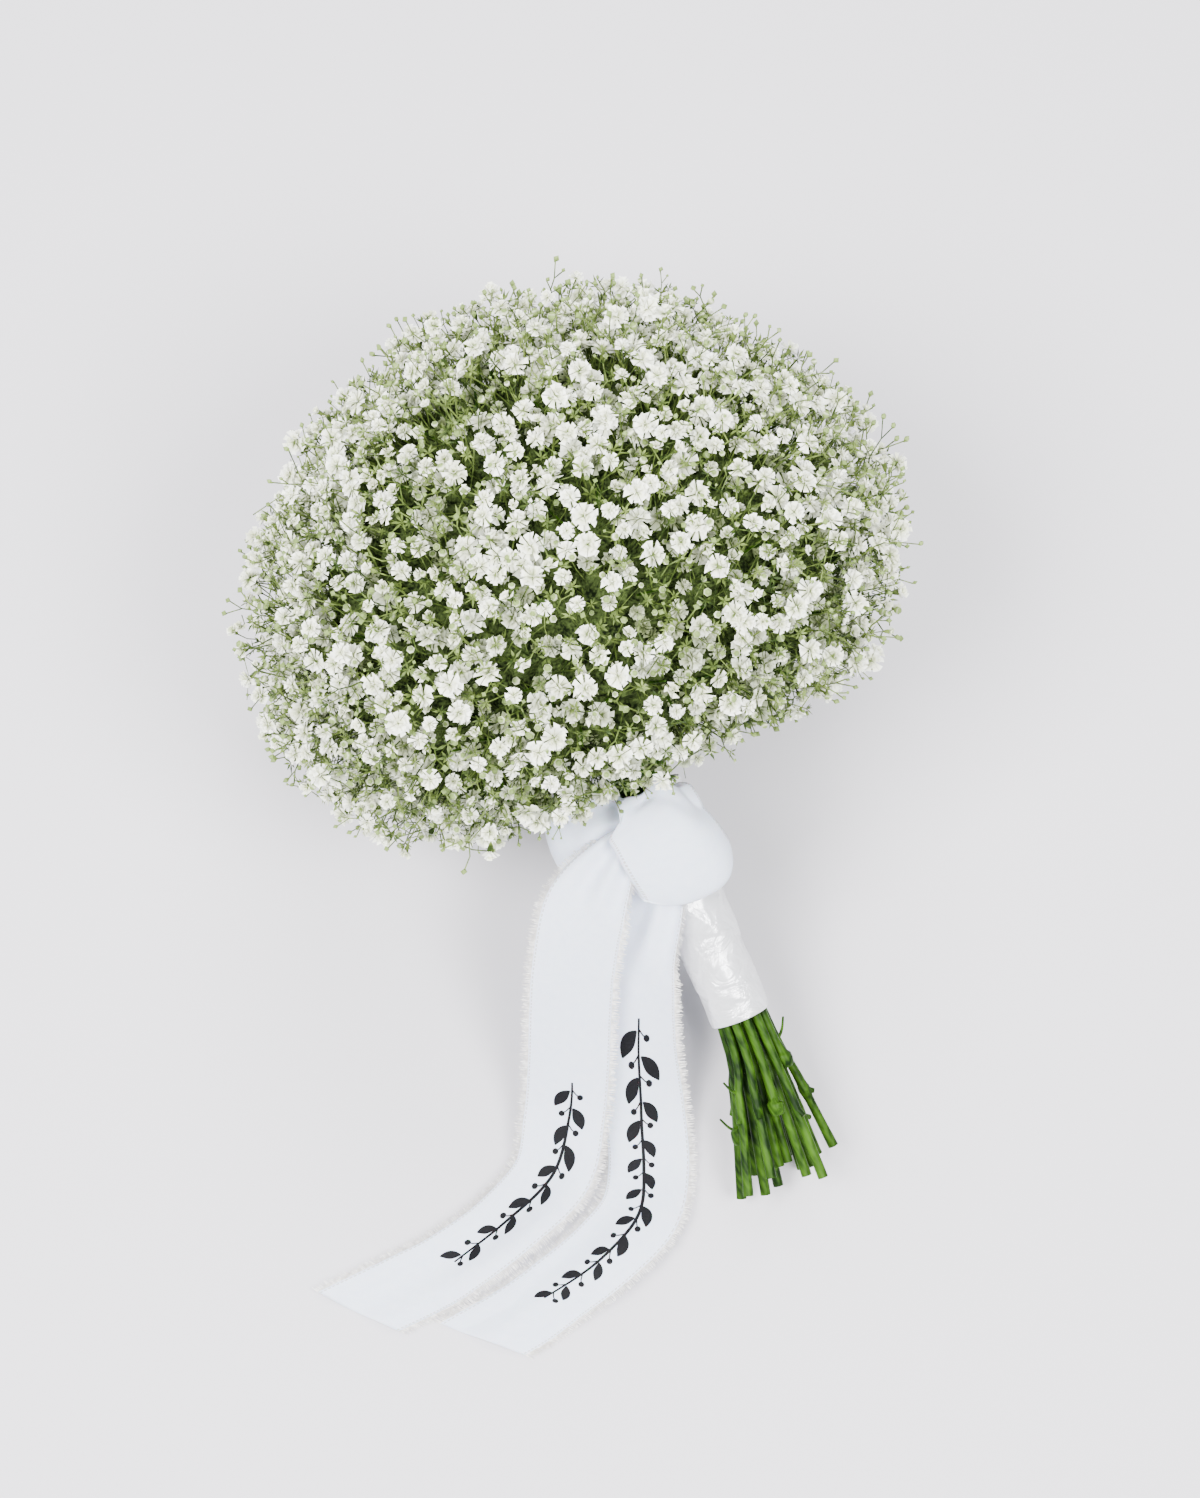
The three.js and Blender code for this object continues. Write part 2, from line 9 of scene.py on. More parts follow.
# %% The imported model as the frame
import bpy
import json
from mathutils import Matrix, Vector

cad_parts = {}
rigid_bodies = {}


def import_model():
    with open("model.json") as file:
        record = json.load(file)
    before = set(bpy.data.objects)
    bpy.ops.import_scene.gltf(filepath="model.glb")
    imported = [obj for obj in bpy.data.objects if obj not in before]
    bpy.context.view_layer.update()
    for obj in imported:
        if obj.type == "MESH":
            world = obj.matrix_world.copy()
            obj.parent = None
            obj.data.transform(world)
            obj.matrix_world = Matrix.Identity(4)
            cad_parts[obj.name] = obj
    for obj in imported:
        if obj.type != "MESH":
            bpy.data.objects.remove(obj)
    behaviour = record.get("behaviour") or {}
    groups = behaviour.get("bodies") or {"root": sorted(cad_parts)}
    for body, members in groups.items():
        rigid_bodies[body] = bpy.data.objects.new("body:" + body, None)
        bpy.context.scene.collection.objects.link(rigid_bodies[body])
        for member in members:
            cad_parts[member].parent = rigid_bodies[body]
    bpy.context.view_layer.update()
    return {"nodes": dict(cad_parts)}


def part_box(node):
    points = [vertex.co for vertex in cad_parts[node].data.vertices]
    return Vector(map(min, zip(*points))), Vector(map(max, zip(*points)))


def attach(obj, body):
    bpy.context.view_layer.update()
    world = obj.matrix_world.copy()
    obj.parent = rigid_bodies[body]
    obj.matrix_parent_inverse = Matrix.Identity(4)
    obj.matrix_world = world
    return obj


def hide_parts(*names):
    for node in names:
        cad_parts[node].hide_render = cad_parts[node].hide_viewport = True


for leftover in list(bpy.data.objects):
    bpy.data.objects.remove(leftover)
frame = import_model()

# %% [markdown]
# ## How the bouquet lies
#
# The stems share one axis, tilted so that the cut ends and the underside of the flower head both touch the
# table. It is easier to think along that axis: X to the side, Y from the cut ends to the flowers, and Z
# away from the table. One function turns such a point, in millimetres, to its place in the model, in
# metres. The binding tape is a plain ring, so the middle of its box shows where the axis is.

# %% The axis of the handle
import json
import math
import random
import numpy as np
from mathutils import Vector

MM = 0.001
# in mm: how far up the axis the head's middle is, and the heights of the cut ends and of that middle
HEAD_CENTRE, ENDS_HEIGHT, HEAD_HEIGHT = 271, 17, 127
TILT = math.asin((HEAD_HEIGHT - ENDS_HEIGHT) / HEAD_CENTRE)
TAPE_MIDDLE = 176

tilt_matrix = np.array(
    [[1, 0, 0], [0, math.cos(TILT), -math.sin(TILT)], [0, math.sin(TILT), math.cos(TILT)]]
)
tape_box = np.array([list(corner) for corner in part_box("binding_tape")])
ends_middle = tape_box.mean(axis=0) - tilt_matrix @ np.array([0, TAPE_MIDDLE, 0]) * MM


def laid(points):
    """Points along the handle's axis, in mm, as they lie on the table, in metres."""
    return np.asarray(points, float) @ tilt_matrix.T * MM + ends_middle


print("middle of the cut ends", ends_middle.round(4), "tilt", round(math.degrees(TILT), 1))

# %% [markdown]
# ## The outline of the flower head
#
# The head is a dome over a flat underside. Each direction from its centre is given by two angles, and a
# level of 1 is the outline. Every stem carries one patch: one at the top, six round it and twelve at the
# sides and below. The model's solids are split the same way, so a patch keeps to its own solid.

# %% Head outline and patches
# in mm: half the head's width, its reach up and down the axis, how far it is to the side, and its underside
HEAD_RADIUS, HEAD_RISE, HEAD_DROP, HEAD_SIDE, UNDERSIDE = 146, 135, 104, 5, 196
RINGS = (1, 6, 12)
EDGE_ANGLES = (0, 23.5, 65, 148)
PATCH_EDGES = [math.radians(angle) for angle in EDGE_ANGLES]


def smoothstep(value, high):
    """A smooth rise from 0 at a value of 0 to 1 at the high value."""
    t = np.clip(np.asarray(value, float) / high, 0, 1)
    return t * t * (3 - 2 * t)


def head_reach(polar):
    """How far the outline is from the head's centre, in mm, at an angle from the axis."""
    polar = np.asarray(polar, float)
    rise = np.where(polar < math.pi / 2, HEAD_RISE, HEAD_DROP)
    dome = 1 / np.hypot(np.sin(polar) / HEAD_RADIUS, np.cos(polar) / rise)
    flat = (HEAD_CENTRE - UNDERSIDE) / np.maximum(-np.cos(polar), 0.01)
    return np.where(polar < math.pi / 2, dome, np.minimum(dome, flat))


def head_point(polar, azimuth, level):
    """A point of the head in mm, along the handle's axis."""
    reach = level * head_reach(polar)
    across = reach * np.sin(polar)
    x = HEAD_SIDE + across * np.cos(azimuth)
    y = HEAD_CENTRE + reach * np.cos(polar)
    z = across * np.sin(azimuth)
    return np.stack(np.broadcast_arrays(x, y, z), axis=-1)


def patch_at(polar, azimuth):
    """The number of the stem that this place of the head belongs to, from 1."""
    ring = 0 if polar < PATCH_EDGES[1] else 1 if polar < PATCH_EDGES[2] else 2
    turn = int(round(azimuth / (2 * math.pi / RINGS[ring]))) % RINGS[ring]
    return 1 + sum(RINGS[:ring]) + turn


def patch_middle(number):
    """The ring of a stem and the azimuth of its patch."""
    ring = 0 if number == 1 else 1 if number <= 7 else 2
    return ring, (number - 1 - sum(RINGS[:ring])) * 2 * math.pi / RINGS[ring]


STEMS = range(1, sum(RINGS) + 1)
print("head reach up, side and down", head_reach(0), head_reach(math.pi / 2), head_reach(2.5))

# %% [markdown]
# ## Helpers for nodes, colours and meshes
#
# A material or a Geometry Nodes tree is a set of nodes with links. One small function adds a node with its
# settings and its inputs, where an input is either a number or another node's output. Colours are written
# as the hex values that a paint program shows, and one function turns them to the linear values that a
# shader needs.

# %% Node, colour and mesh helpers
def add_node(tree, kind, inputs=None, **settings):
    """A new node with its settings and its inputs, each a value or another node's output."""
    made = tree.nodes.new(kind)
    for name, value in settings.items():
        setattr(made, name, value)
    for key, value in (inputs or {}).items():
        if isinstance(value, bpy.types.NodeSocket):
            tree.links.new(value, made.inputs[key])
        else:
            made.inputs[key].default_value = value
    return made


def linear(hex_colour):
    """An sRGB hex colour as the linear RGBA of a shader."""
    parts = [int(hex_colour[i : i + 2], 16) / 255 for i in (1, 3, 5)]
    return [c / 12.92 if c <= 0.04045 else ((c + 0.055) / 1.055) ** 2.4 for c in parts] + [1]


def new_material(name):
    """An empty material with its shader, and the tree to add nodes to."""
    material = bpy.data.materials.new(name)
    material.use_nodes = True
    return material, material.node_tree, material.node_tree.nodes["Principled BSDF"]


def new_object(name, vertices, faces, material=None):
    """An object from vertices in metres, already in place, and faces."""
    mesh = bpy.data.meshes.new(name)
    mesh.from_pydata([tuple(v) for v in np.asarray(vertices, float)], [], [tuple(f) for f in faces])
    mesh.update()
    if material:
        mesh.materials.append(material)
    made = bpy.data.objects.new(name, mesh)
    bpy.context.scene.collection.objects.link(made)
    return made


def triangles(obj):
    """How many triangles the faces of an object make."""
    return sum(len(polygon.vertices) - 2 for polygon in obj.data.polygons)


print("white as a shader reads it", linear("#ffffff"), "and mid grey", linear("#808080"))

# %% [markdown]
# ## Camera, table and light
#
# The photograph looks at the bouquet from the front. Here it lies, so the same view is from above: seventy
# degrees up, and turned so that the handle points down to the right. The lens is long, like the photo's,
# and its field of view follows from the size of the bouquet in the picture. Three big soft lamps and a pale
# sky give the light of a bright room: the strongest stands at the left like a window, one fills in from the
# front, and a weak one at the back keeps the far rim of the flowers white.

# %% Camera
# Pixels belong to the photograph. The distance and the neck, where the bow is tied, are in mm.
PHOTO_WIDTH, PHOTO_HEIGHT = 1200, 1498
PIXELS_PER_MM = 2.3
AZIMUTH, ELEVATION, DISTANCE = math.radians(-25), math.radians(70), 1500
NECK_PIXEL = (640, 775)
NECK = laid([0, 193, 0])
SENSOR_HEIGHT = 24

toward_camera = np.array(
    [math.sin(AZIMUTH) * math.cos(ELEVATION), -math.cos(AZIMUTH) * math.cos(ELEVATION), math.sin(ELEVATION)]
)
camera_right = np.array([math.cos(AZIMUTH), math.sin(AZIMUTH), 0])
camera_up = np.cross(toward_camera, camera_right)
aim = (
    NECK
    - camera_right * (NECK_PIXEL[0] - PHOTO_WIDTH / 2) / PIXELS_PER_MM * MM
    + camera_up * (NECK_PIXEL[1] - PHOTO_HEIGHT / 2) / PIXELS_PER_MM * MM
)

camera_data = bpy.data.cameras.new("camera")
camera_data.sensor_fit = "VERTICAL"
camera_data.sensor_height = SENSOR_HEIGHT
camera_data.lens = SENSOR_HEIGHT * DISTANCE * PIXELS_PER_MM / PHOTO_HEIGHT
camera_data.clip_end = 20
camera = bpy.data.objects.new("camera", camera_data)
camera.location = aim + toward_camera * DISTANCE * MM
camera.rotation_euler = (math.pi / 2 - ELEVATION, 0, AZIMUTH)
bpy.context.scene.collection.objects.link(camera)
bpy.context.scene.camera = camera
print("lens", round(camera_data.lens, 1), "mm, aimed at", aim.round(3))

# %% Table and light
# Rolled matt paint has no gloss and no grain, so the table shows nothing but the soft shadows.
table_paint, _, table_shader = new_material("matte_table_paint")
table_shader.inputs["Base Color"].default_value = linear("#d1cfd4")
table_shader.inputs["Roughness"].default_value = 0.85
TABLE_HALF = 3
TABLE_DROP = 0.0008
table_corners = [(x * TABLE_HALF, y * TABLE_HALF, 0) for x, y in ((-1, -1), (1, -1), (1, 1), (-1, 1))]
table = new_object("table", table_corners, [(0, 1, 2, 3)], table_paint)
table.location.z = -TABLE_DROP

world = bpy.data.worlds.new("bright_room")
world.use_nodes = True
world.node_tree.nodes["Background"].inputs["Color"].default_value = linear("#eef0f5")
world.node_tree.nodes["Background"].inputs["Strength"].default_value = 0.9
bpy.context.scene.world = world

LAMP_TARGET = Vector((0, 0.05, 0.1))


def place_lamp(name, place, size, power, colour):
    """A square area lamp that looks at the middle of the bouquet, with its size in m and power in W."""
    lamp_data = bpy.data.lights.new(name, "AREA")
    lamp_data.size, lamp_data.energy = size, power
    lamp_data.color = linear(colour)[:3]
    lamp = bpy.data.objects.new(name, lamp_data)
    lamp.location = place
    lamp.rotation_euler = (LAMP_TARGET - Vector(place)).to_track_quat("-Z", "Y").to_euler()
    bpy.context.scene.collection.objects.link(lamp)
    print(name, "stands", round((LAMP_TARGET - Vector(place)).length, 2), "m away")


place_lamp("window_lamp", (-1.0, -0.2, 1.9), 0.9, 112, "#fffefe")
place_lamp("front_lamp", (0.4, -1.0, 1.8), 0.8, 80, "#ffffff")
place_lamp("back_lamp", (0.5, 1.0, 1.6), 0.9, 34, "#ffffff")

# %% [markdown]
# ## Geometry Nodes trees and how they are run
#
# What repeats by the hundred, such as flowers, buds and threads, is placed by a Geometry Nodes tree. The
# tree's inputs are named for the sizes they set. A modifier runs it on an object, the result is copied to a
# plain mesh, and the modifier goes again, because only plain meshes leave Blender.

# %% Building and running a tree
def new_tree(name, inputs):
    """A Geometry Nodes tree with named inputs. Returns the tree, its input values and its output node."""
    tree = bpy.data.node_groups.new(name, "GeometryNodeTree")
    for label, kind in inputs.items():
        tree.interface.new_socket(label, in_out="INPUT", socket_type=kind)
    tree.interface.new_socket("Geometry", in_out="OUTPUT", socket_type="NodeSocketGeometry")
    source = tree.nodes.new("NodeGroupInput")
    values = {socket.name: socket for socket in source.outputs if socket.name}
    return tree, values, tree.nodes.new("NodeGroupOutput")


def run_tree(name, base, tree, values):
    """Runs a tree on the base object and returns what it makes as a plain object."""
    modifier = base.modifiers.new(tree.name, "NODES")
    modifier.node_group = tree
    for socket in tree.interface.items_tree:
        if socket.in_out == "INPUT" and socket.name in values:
            modifier[socket.identifier] = values[socket.name]
    evaluated = base.evaluated_get(bpy.context.evaluated_depsgraph_get())
    mesh = bpy.data.meshes.new_from_object(evaluated)
    base.modifiers.remove(modifier)
    mesh.name = name
    made = bpy.data.objects.new(name, mesh)
    bpy.context.scene.collection.objects.link(made)
    return made


def keep_aside(name, meshes):
    """A collection of objects that trees can copy from and that never shows itself."""
    group = bpy.data.collections.new(name)
    for i, mesh in enumerate(meshes):
        group.objects.link(bpy.data.objects.new(f"{name}_{i:02d}", mesh))
    return group


# %% [markdown]
# ## The shade inside the head
#
# Deep in the head hardly any light arrives, because thousands of fine stalks and petals take it away, far
# more than are made here. The materials of petals and stalks get darker with the depth below the outline
# to stand for that. The depth is measured in the head's own ellipsoid, which is flatter below than above.

# %% Depth in the head
# where the shade starts and where it is full, as shares of the way from the head's middle to its outline
SHADE_STARTS, SHADE_FULL = 0.95, 0.79


def depth_shade(tree, colour, deep):
    """The colour, multiplied by a deep tone the further in its place is."""
    place = add_node(tree, "ShaderNodeTexCoord")
    middle = tuple(laid([HEAD_SIDE, HEAD_CENTRE, 0]))
    apart = add_node(
        tree, "ShaderNodeVectorMath", {0: place.outputs["Object"], 1: middle}, operation="SUBTRACT"
    )
    scale = (1 / (HEAD_RADIUS * MM), 1 / (HEAD_RISE * MM), 1 / (HEAD_RADIUS * MM))
    upright = add_node(
        tree, "ShaderNodeVectorRotate", {"Vector": apart.outputs[0], "Angle": -TILT}, rotation_type="X_AXIS"
    )
    unit_ball = add_node(
        tree, "ShaderNodeVectorMath", {0: upright.outputs[0], 1: scale}, operation="MULTIPLY"
    )
    parts = add_node(tree, "ShaderNodeSeparateXYZ", {0: unit_ball.outputs[0]})
    below = add_node(
        tree, "ShaderNodeMath", {0: parts.outputs["Y"], 1: -HEAD_RISE / HEAD_DROP}, operation="MULTIPLY"
    )
    height = add_node(
        tree, "ShaderNodeMath", {0: parts.outputs["Y"], 1: below.outputs[0]}, operation="MAXIMUM"
    )
    share = add_node(
        tree, "ShaderNodeCombineXYZ",
        {"X": parts.outputs["X"], "Y": height.outputs[0], "Z": parts.outputs["Z"]}
    )
    far = add_node(tree, "ShaderNodeVectorMath", {0: share.outputs[0]}, operation="LENGTH")
    shade = add_node(
        tree, "ShaderNodeMapRange",
        {"Value": far.outputs["Value"], "From Min": SHADE_STARTS, "From Max": SHADE_FULL}
    )
    mixed = add_node(
        tree, "ShaderNodeMix", {0: shade.outputs[0], 6: colour, 7: linear(deep)}, data_type="RGBA",
        blend_type="MULTIPLY"
    )
    return mixed.outputs[2]


print("the shade is full", round((1 - SHADE_FULL) * HEAD_RADIUS), "mm inside the widest part of the outline")

# %% [markdown]
# ## The finish of the flowers
#
# The petals of double baby's breath are thin, matte and white, with a touch of green and cream towards the
# middle of the flower, where they are packed and young. Each petal's mesh carries a number for its ripeness
# and shade, from 0 at the green base to 1 at the white rim, and the material reads its colour from that. The
# green at the base is partly the young flower's own colour and partly painted shade where the petals crowd.
# A soft noise, with spots about as wide as a flower, makes some flowers younger and so greener than their
# neighbours, and the shade inside the head darkens those that sit deep in it.

# %% Petal material
# Fresh petals are matt and even, so each one reads as a flat white fleck with hardly any gloss.
# The green end of the ramp is partly the petals' own young green and partly painted shade at their roots.
PETAL_GREEN_AND_SHADE, PETAL_CREAM, PETAL_WHITE, PETAL_DEEP = "#788c4e", "#e8ebd0", "#fcfef4", "#8f9976"
petal, tree, shader = new_material("fresh_petal")
ripeness_and_shade = add_node(tree, "ShaderNodeAttribute", attribute_name="ripeness_and_shade")
place = add_node(tree, "ShaderNodeTexCoord")
blotch = add_node(tree, "ShaderNodeTexNoise", {"Vector": place.outputs["Object"], "Scale": 110, "Detail": 2})
older = add_node(
    tree, "ShaderNodeMapRange",
    {"Value": blotch.outputs["Fac"], "From Min": 0.3, "From Max": 0.7, "To Min": -0.3, "To Max": 0.17},
)
mixed = add_node(tree, "ShaderNodeMath", {0: older.outputs[0], 1: ripeness_and_shade.outputs["Fac"]}, operation="ADD")
ramp = add_node(tree, "ShaderNodeValToRGB", {"Fac": mixed.outputs[0]})
ramp.color_ramp.elements[0].color = linear(PETAL_GREEN_AND_SHADE)
ramp.color_ramp.elements[1].color = linear(PETAL_WHITE)
ramp.color_ramp.elements[0].position, ramp.color_ramp.elements[1].position = 0.16, 0.86
cream = ramp.color_ramp.elements.new(0.52)
cream.color = linear(PETAL_CREAM)
tree.links.new(depth_shade(tree, ramp.outputs["Color"], PETAL_DEEP), shader.inputs["Base Color"])
shader.inputs["Roughness"].default_value = 0.6
shader.inputs["Specular IOR Level"].default_value = 0.25
print("petals go from", PETAL_GREEN_AND_SHADE, "over", PETAL_CREAM, "to", PETAL_WHITE)

# %% [markdown]
# ## One flower
#
# A double flower is a tiny pompon about ten millimetres across: an outer ring of spread petals and three
# more rings that stand up ever steeper, all with ragged tips. Each petal is a thin closed wedge of only four
# triangles, because thousands of flowers are needed. Four full flowers and two that are just opening are
# made, each with its own random tilts, and the head is filled with copies of them. The inner petals are
# younger, so they are creamier.

# %% Rings of petals
FULL_FLOWER = (
    # petals, length, width, lift in degrees, start radius and height above the calyx in mm, whiteness
    (11, 4.6, 2.4, -8, 0.3, 1.0, 1.0),
    (9, 4.3, 2.1, 26, 0.3, 1.4, 0.98),
    (6, 3.9, 2.1, 54, 0.3, 1.6, 0.92),
    (3, 3.3, 1.8, 77, 0.2, 1.8, 0.84),
)
OPENING_FLOWER = (
    (6, 3.4, 2.5, 42, 0.3, 0.2, 0.86),
    (4, 3.2, 2.2, 64, 0.3, 0.5, 0.74),
    (3, 2.9, 1.9, 82, 0.2, 0.8, 0.56),
)
# how far a petal's tilt varies, in degrees, and its shortest length and the range over that, as shares
TILT_RANGE, SHORTEST, LONGER = 34, 0.86, 0.28
# the ripeness at a petal's root, kept low partly as painted shade where the petals crowd
ROOT_RIPENESS_AND_SHADE = 0.28


def petal_points(length, width, draw):
    """The root of a petal, the two corners of its ragged tip and the keel at its back."""

    def ragged(amount):
        return amount * (draw.random() - 0.5)

    return [
        (0.0, 0.0, 0.0),
        (length * (0.97 + ragged(0.3)), -width * 0.5, ragged(1.8)),
        (length * (0.97 + ragged(0.3)), width * 0.5, ragged(1.8)),
        (length * 0.6, 0.0, -0.5),
    ]


print(
    "petals of a full and an opening flower", sum(ring[0] for ring in FULL_FLOWER),
    sum(ring[0] for ring in OPENING_FLOWER),
)

# %% Flower meshes
def flower_mesh(name, rings, seed):
    """A flower of several rings of petals, each with a random turn, tilt and length."""
    draw = random.Random(seed)
    vertices, faces, ripe_and_shade = [], [], []
    for count, length, width, lift, start, height, whiteness in rings:
        turn = draw.random() * 2 * math.pi
        for i in range(count):
            azimuth = turn + (i + 0.5 * (draw.random() - 0.5)) * 2 * math.pi / count
            raised = math.radians(lift + TILT_RANGE * (draw.random() - 0.5))
            reach = length * (SHORTEST + LONGER * draw.random())
            first = len(vertices)
            for x, y, z in petal_points(reach, width, draw):
                along = start + x * math.cos(raised) - z * math.sin(raised)
                up = height + x * math.sin(raised) + z * math.cos(raised)
                east = along * math.cos(azimuth) - y * math.sin(azimuth)
                north = along * math.sin(azimuth) + y * math.cos(azimuth)
                vertices.append((east, north, up))
                ripe_and_shade.append(min(1.0, ROOT_RIPENESS_AND_SHADE + (whiteness - ROOT_RIPENESS_AND_SHADE) * x / reach))
            for a, b, c in ((0, 1, 2), (3, 1, 0), (3, 2, 1), (3, 0, 2)):
                faces.append((first + a, first + b, first + c))
    mesh = bpy.data.meshes.new(name)
    mesh.from_pydata([tuple(np.array(v) * MM) for v in vertices], [], faces)
    mesh.attributes.new("ripeness_and_shade", "FLOAT", "POINT").data.foreach_set("value", ripe_and_shade)
    mesh.update()
    return mesh


flowers = keep_aside(
    "flower",
    [flower_mesh(f"full_flower_{i}", FULL_FLOWER, 40 + i) for i in range(4)]
    + [flower_mesh(f"opening_flower_{i}", OPENING_FLOWER, 50 + i) for i in range(2)],
)

# %% [markdown]
# ## Buds and flower stalks
#
# Between the open flowers there are round closed buds, pale green to white, hardly wider than three
# millimetres. Every flower and bud stands on a thread-like stalk that thickens to a small green cup, the
# calyx, under the petals. Stalks are thin tubes of four sides, or three under a bud, bent at random.

# %% Profiles of buds and stalks
# heights and radii of a bud in mm
BUD_PROFILE = ((-1.7, 0.5), (-0.8, 1.4), (0.6, 1.6), (1.5, 0.6))


def bud_ripeness(height):
    """Green at the calyx, white round the shoulder and green again at the closed tip."""
    return {-1.7: 0.0, -0.8: 0.12, 0.6: 0.46, 1.5: 0.05}[height]


# heights and radii in mm, from the root of a stalk to the rim of its cup
STALK_PROFILE = ((-26, 0.3), (-13, 0.27), (-3.2, 0.33), (-1.2, 1.15), (0.9, 1.35))
BUD_STALK_PROFILE = ((-26, 0.3), (-13, 0.27), (-3.0, 0.27), (-1.6, 0.7))
print("width of a bud in mm", 2 * max(radius for _, radius in BUD_PROFILE))

# %% Bud and stalk meshes
def turned_mesh(name, profile, sides, bend=(0, 0), ripe_and_shade=None):
    """A closed mesh from (height, radius) pairs in mm, bent sideways towards its lower end."""
    vertices, faces = [], []
    lowest = profile[0][0]
    for height, radius in profile:
        drift = (height / lowest) ** 2 if lowest else 0
        for i in range(sides):
            angle = 2 * math.pi * i / sides
            east = radius * math.cos(angle) + bend[0] * drift
            north = radius * math.sin(angle) + bend[1] * drift
            vertices.append((east, north, height))
    for k in range(len(profile) - 1):
        for i in range(sides):
            j = (i + 1) % sides
            faces.append((k * sides + i, k * sides + j, (k + 1) * sides + j, (k + 1) * sides + i))
    faces.append(tuple(range(sides))[::-1])
    faces.append(tuple(range((len(profile) - 1) * sides, len(profile) * sides)))
    mesh = bpy.data.meshes.new(name)
    mesh.from_pydata([tuple(np.array(v) * MM) for v in vertices], [], faces)
    if ripe_and_shade:
        values = [ripe_and_shade(height) for height, _ in profile for _ in range(sides)]
        mesh.attributes.new("ripeness_and_shade", "FLOAT", "POINT").data.foreach_set("value", values)
    mesh.update()
    return mesh


buds = keep_aside(
    "bud",
    [turned_mesh(f"bud_mesh_{i}", BUD_PROFILE, 6, ripe_and_shade=bud_ripeness) for i in range(3)],
)
STALK_SWAY = 16
bend_draw = random.Random(7)
bends = [(STALK_SWAY * (bend_draw.random() - 0.5), STALK_SWAY * (bend_draw.random() - 0.5)) for _ in range(6)]
stalks = keep_aside(
    "stalk", [turned_mesh(f"stalk_mesh_{i}", STALK_PROFILE, 4, bend) for i, bend in enumerate(bends)]
)
bud_stalks = keep_aside(
    "bud_stalk",
    [turned_mesh(f"bud_stalk_mesh_{i}", BUD_STALK_PROFILE, 3, bend) for i, bend in enumerate(bends[:3])],
)

# %% [markdown]
# ## Wisps at the edge of the head
#
# Here and there a fine twig stands out of the cushion and forks into three or four stalks with a closed bud
# on each. A wisp has two parts with different finishes, the green twig and the buds. Both come from the same
# run of random numbers, so that they fit. Its buds are young, so they are nearly as green as the twig.

# %% Tubes and small buds
def tube(points, radii, sides):
    """Vertices and faces of a closed tube through points, in mm."""
    points = np.asarray(points, float)
    tangents = np.gradient(points, axis=0)
    tangents /= np.linalg.norm(tangents, axis=1, keepdims=True)
    normal = np.cross(tangents[0], [0.31, 0.22, 0.93])
    vertices, faces = [], []
    for k, (point, tangent) in enumerate(zip(points, tangents)):
        normal = normal - tangent * normal.dot(tangent)
        normal /= np.linalg.norm(normal)
        across = np.cross(tangent, normal)
        for i in range(sides):
            angle = 2 * math.pi * i / sides
            vertices.append(point + radii[k] * (math.cos(angle) * normal + math.sin(angle) * across))
    for k in range(len(points) - 1):
        for i in range(sides):
            j = (i + 1) % sides
            faces.append((k * sides + i, k * sides + j, (k + 1) * sides + j, (k + 1) * sides + i))
    faces.append(tuple(range(sides))[::-1])
    faces.append(tuple(range((len(points) - 1) * sides, len(points) * sides)))
    return vertices, faces


def joined_mesh(name, parts, ripe_and_shade=None):
    """One mesh in metres from several (vertices, faces) in mm."""
    vertices, faces = [], []
    for part_vertices, part_faces in parts:
        first = len(vertices)
        vertices += [tuple(np.asarray(v, float) * MM) for v in part_vertices]
        faces += [tuple(first + i for i in face) for face in part_faces]
    mesh = bpy.data.meshes.new(name)
    mesh.from_pydata(vertices, [], faces)
    if ripe_and_shade is not None:
        mesh.attributes.new("ripeness_and_shade", "FLOAT", "POINT").data.foreach_set("value", [ripe_and_shade] * len(vertices))
    mesh.update()
    return mesh


def small_bud(centre, radius):
    """A closed bud of eight faces, a little taller than wide, in mm."""
    corners = [(radius, 0, 0), (0, radius, 0), (-radius, 0, 0), (0, -radius, 0)]
    corners += [(0, 0, 1.2 * radius), (0, 0, -1.4 * radius)]
    faces = []
    for i in range(4):
        j = (i + 1) % 4
        faces += [(i, j, 4), (j, i, 5)]
    return [np.add(centre, corner) for corner in corners], faces


print("faces of a small bud", len(small_bud((0, 0, 0), 1.0)[1]))

# %% Wisp meshes
def wisp_parts(seed):
    """A twig that forks twice, with a bud on each tip."""
    draw = random.Random(seed)
    twigs, tips = [], []
    fork = np.array([4 * (draw.random() - 0.5), 4 * (draw.random() - 0.5), -6.0])
    twigs.append(tube([(0, 0, -24), (1, 0.5, -15), fork], (0.46, 0.4, 0.36), 3))
    turn = 6.28 * draw.random()
    for i in range(2):
        angle = turn + math.pi * i + 0.7 * (draw.random() - 0.5)
        reach, rise = 2.5 + 3 * draw.random(), 3 + 4 * draw.random()
        knee = fork + (reach * math.cos(angle), reach * math.sin(angle), rise)
        twigs.append(tube([fork, knee], (0.34, 0.3), 3))
        for k in range(2 if i or draw.random() < 0.6 else 1):
            way = angle + (k - 0.5) * 1.7 + 0.5 * (draw.random() - 0.5)
            spread, up = 2.2 + 3.4 * draw.random(), 2.5 + 4.5 * draw.random()
            tip = knee + (spread * math.cos(way), spread * math.sin(way), up)
            twigs.append(tube([knee, tip], (0.28, 0.32), 3))
            tips.append(small_bud(tip + (0, 0, 0.9), 0.85 + 0.6 * draw.random()))
    return twigs, tips


WISP_RIPENESS = 0.04
wisps = [wisp_parts(70 + i) for i in range(6)]
wisp_twigs = keep_aside(
    "wisp_twig", [joined_mesh(f"wisp_twig_mesh_{i}", twigs) for i, (twigs, _) in enumerate(wisps)]
)
wisp_buds = keep_aside(
    "wisp_bud", [joined_mesh(f"wisp_bud_mesh_{i}", tips, WISP_RIPENESS) for i, (_, tips) in enumerate(wisps)]
)
print("buds on each wisp", [len(tips) for _, tips in wisps])

# %% [markdown]
# ## Bracts
#
# Where stalks fork there is a small whorl of pointed green leaflets. Between the white flowers they read as
# little green stars. A leaflet is a closed sliver of six triangles.

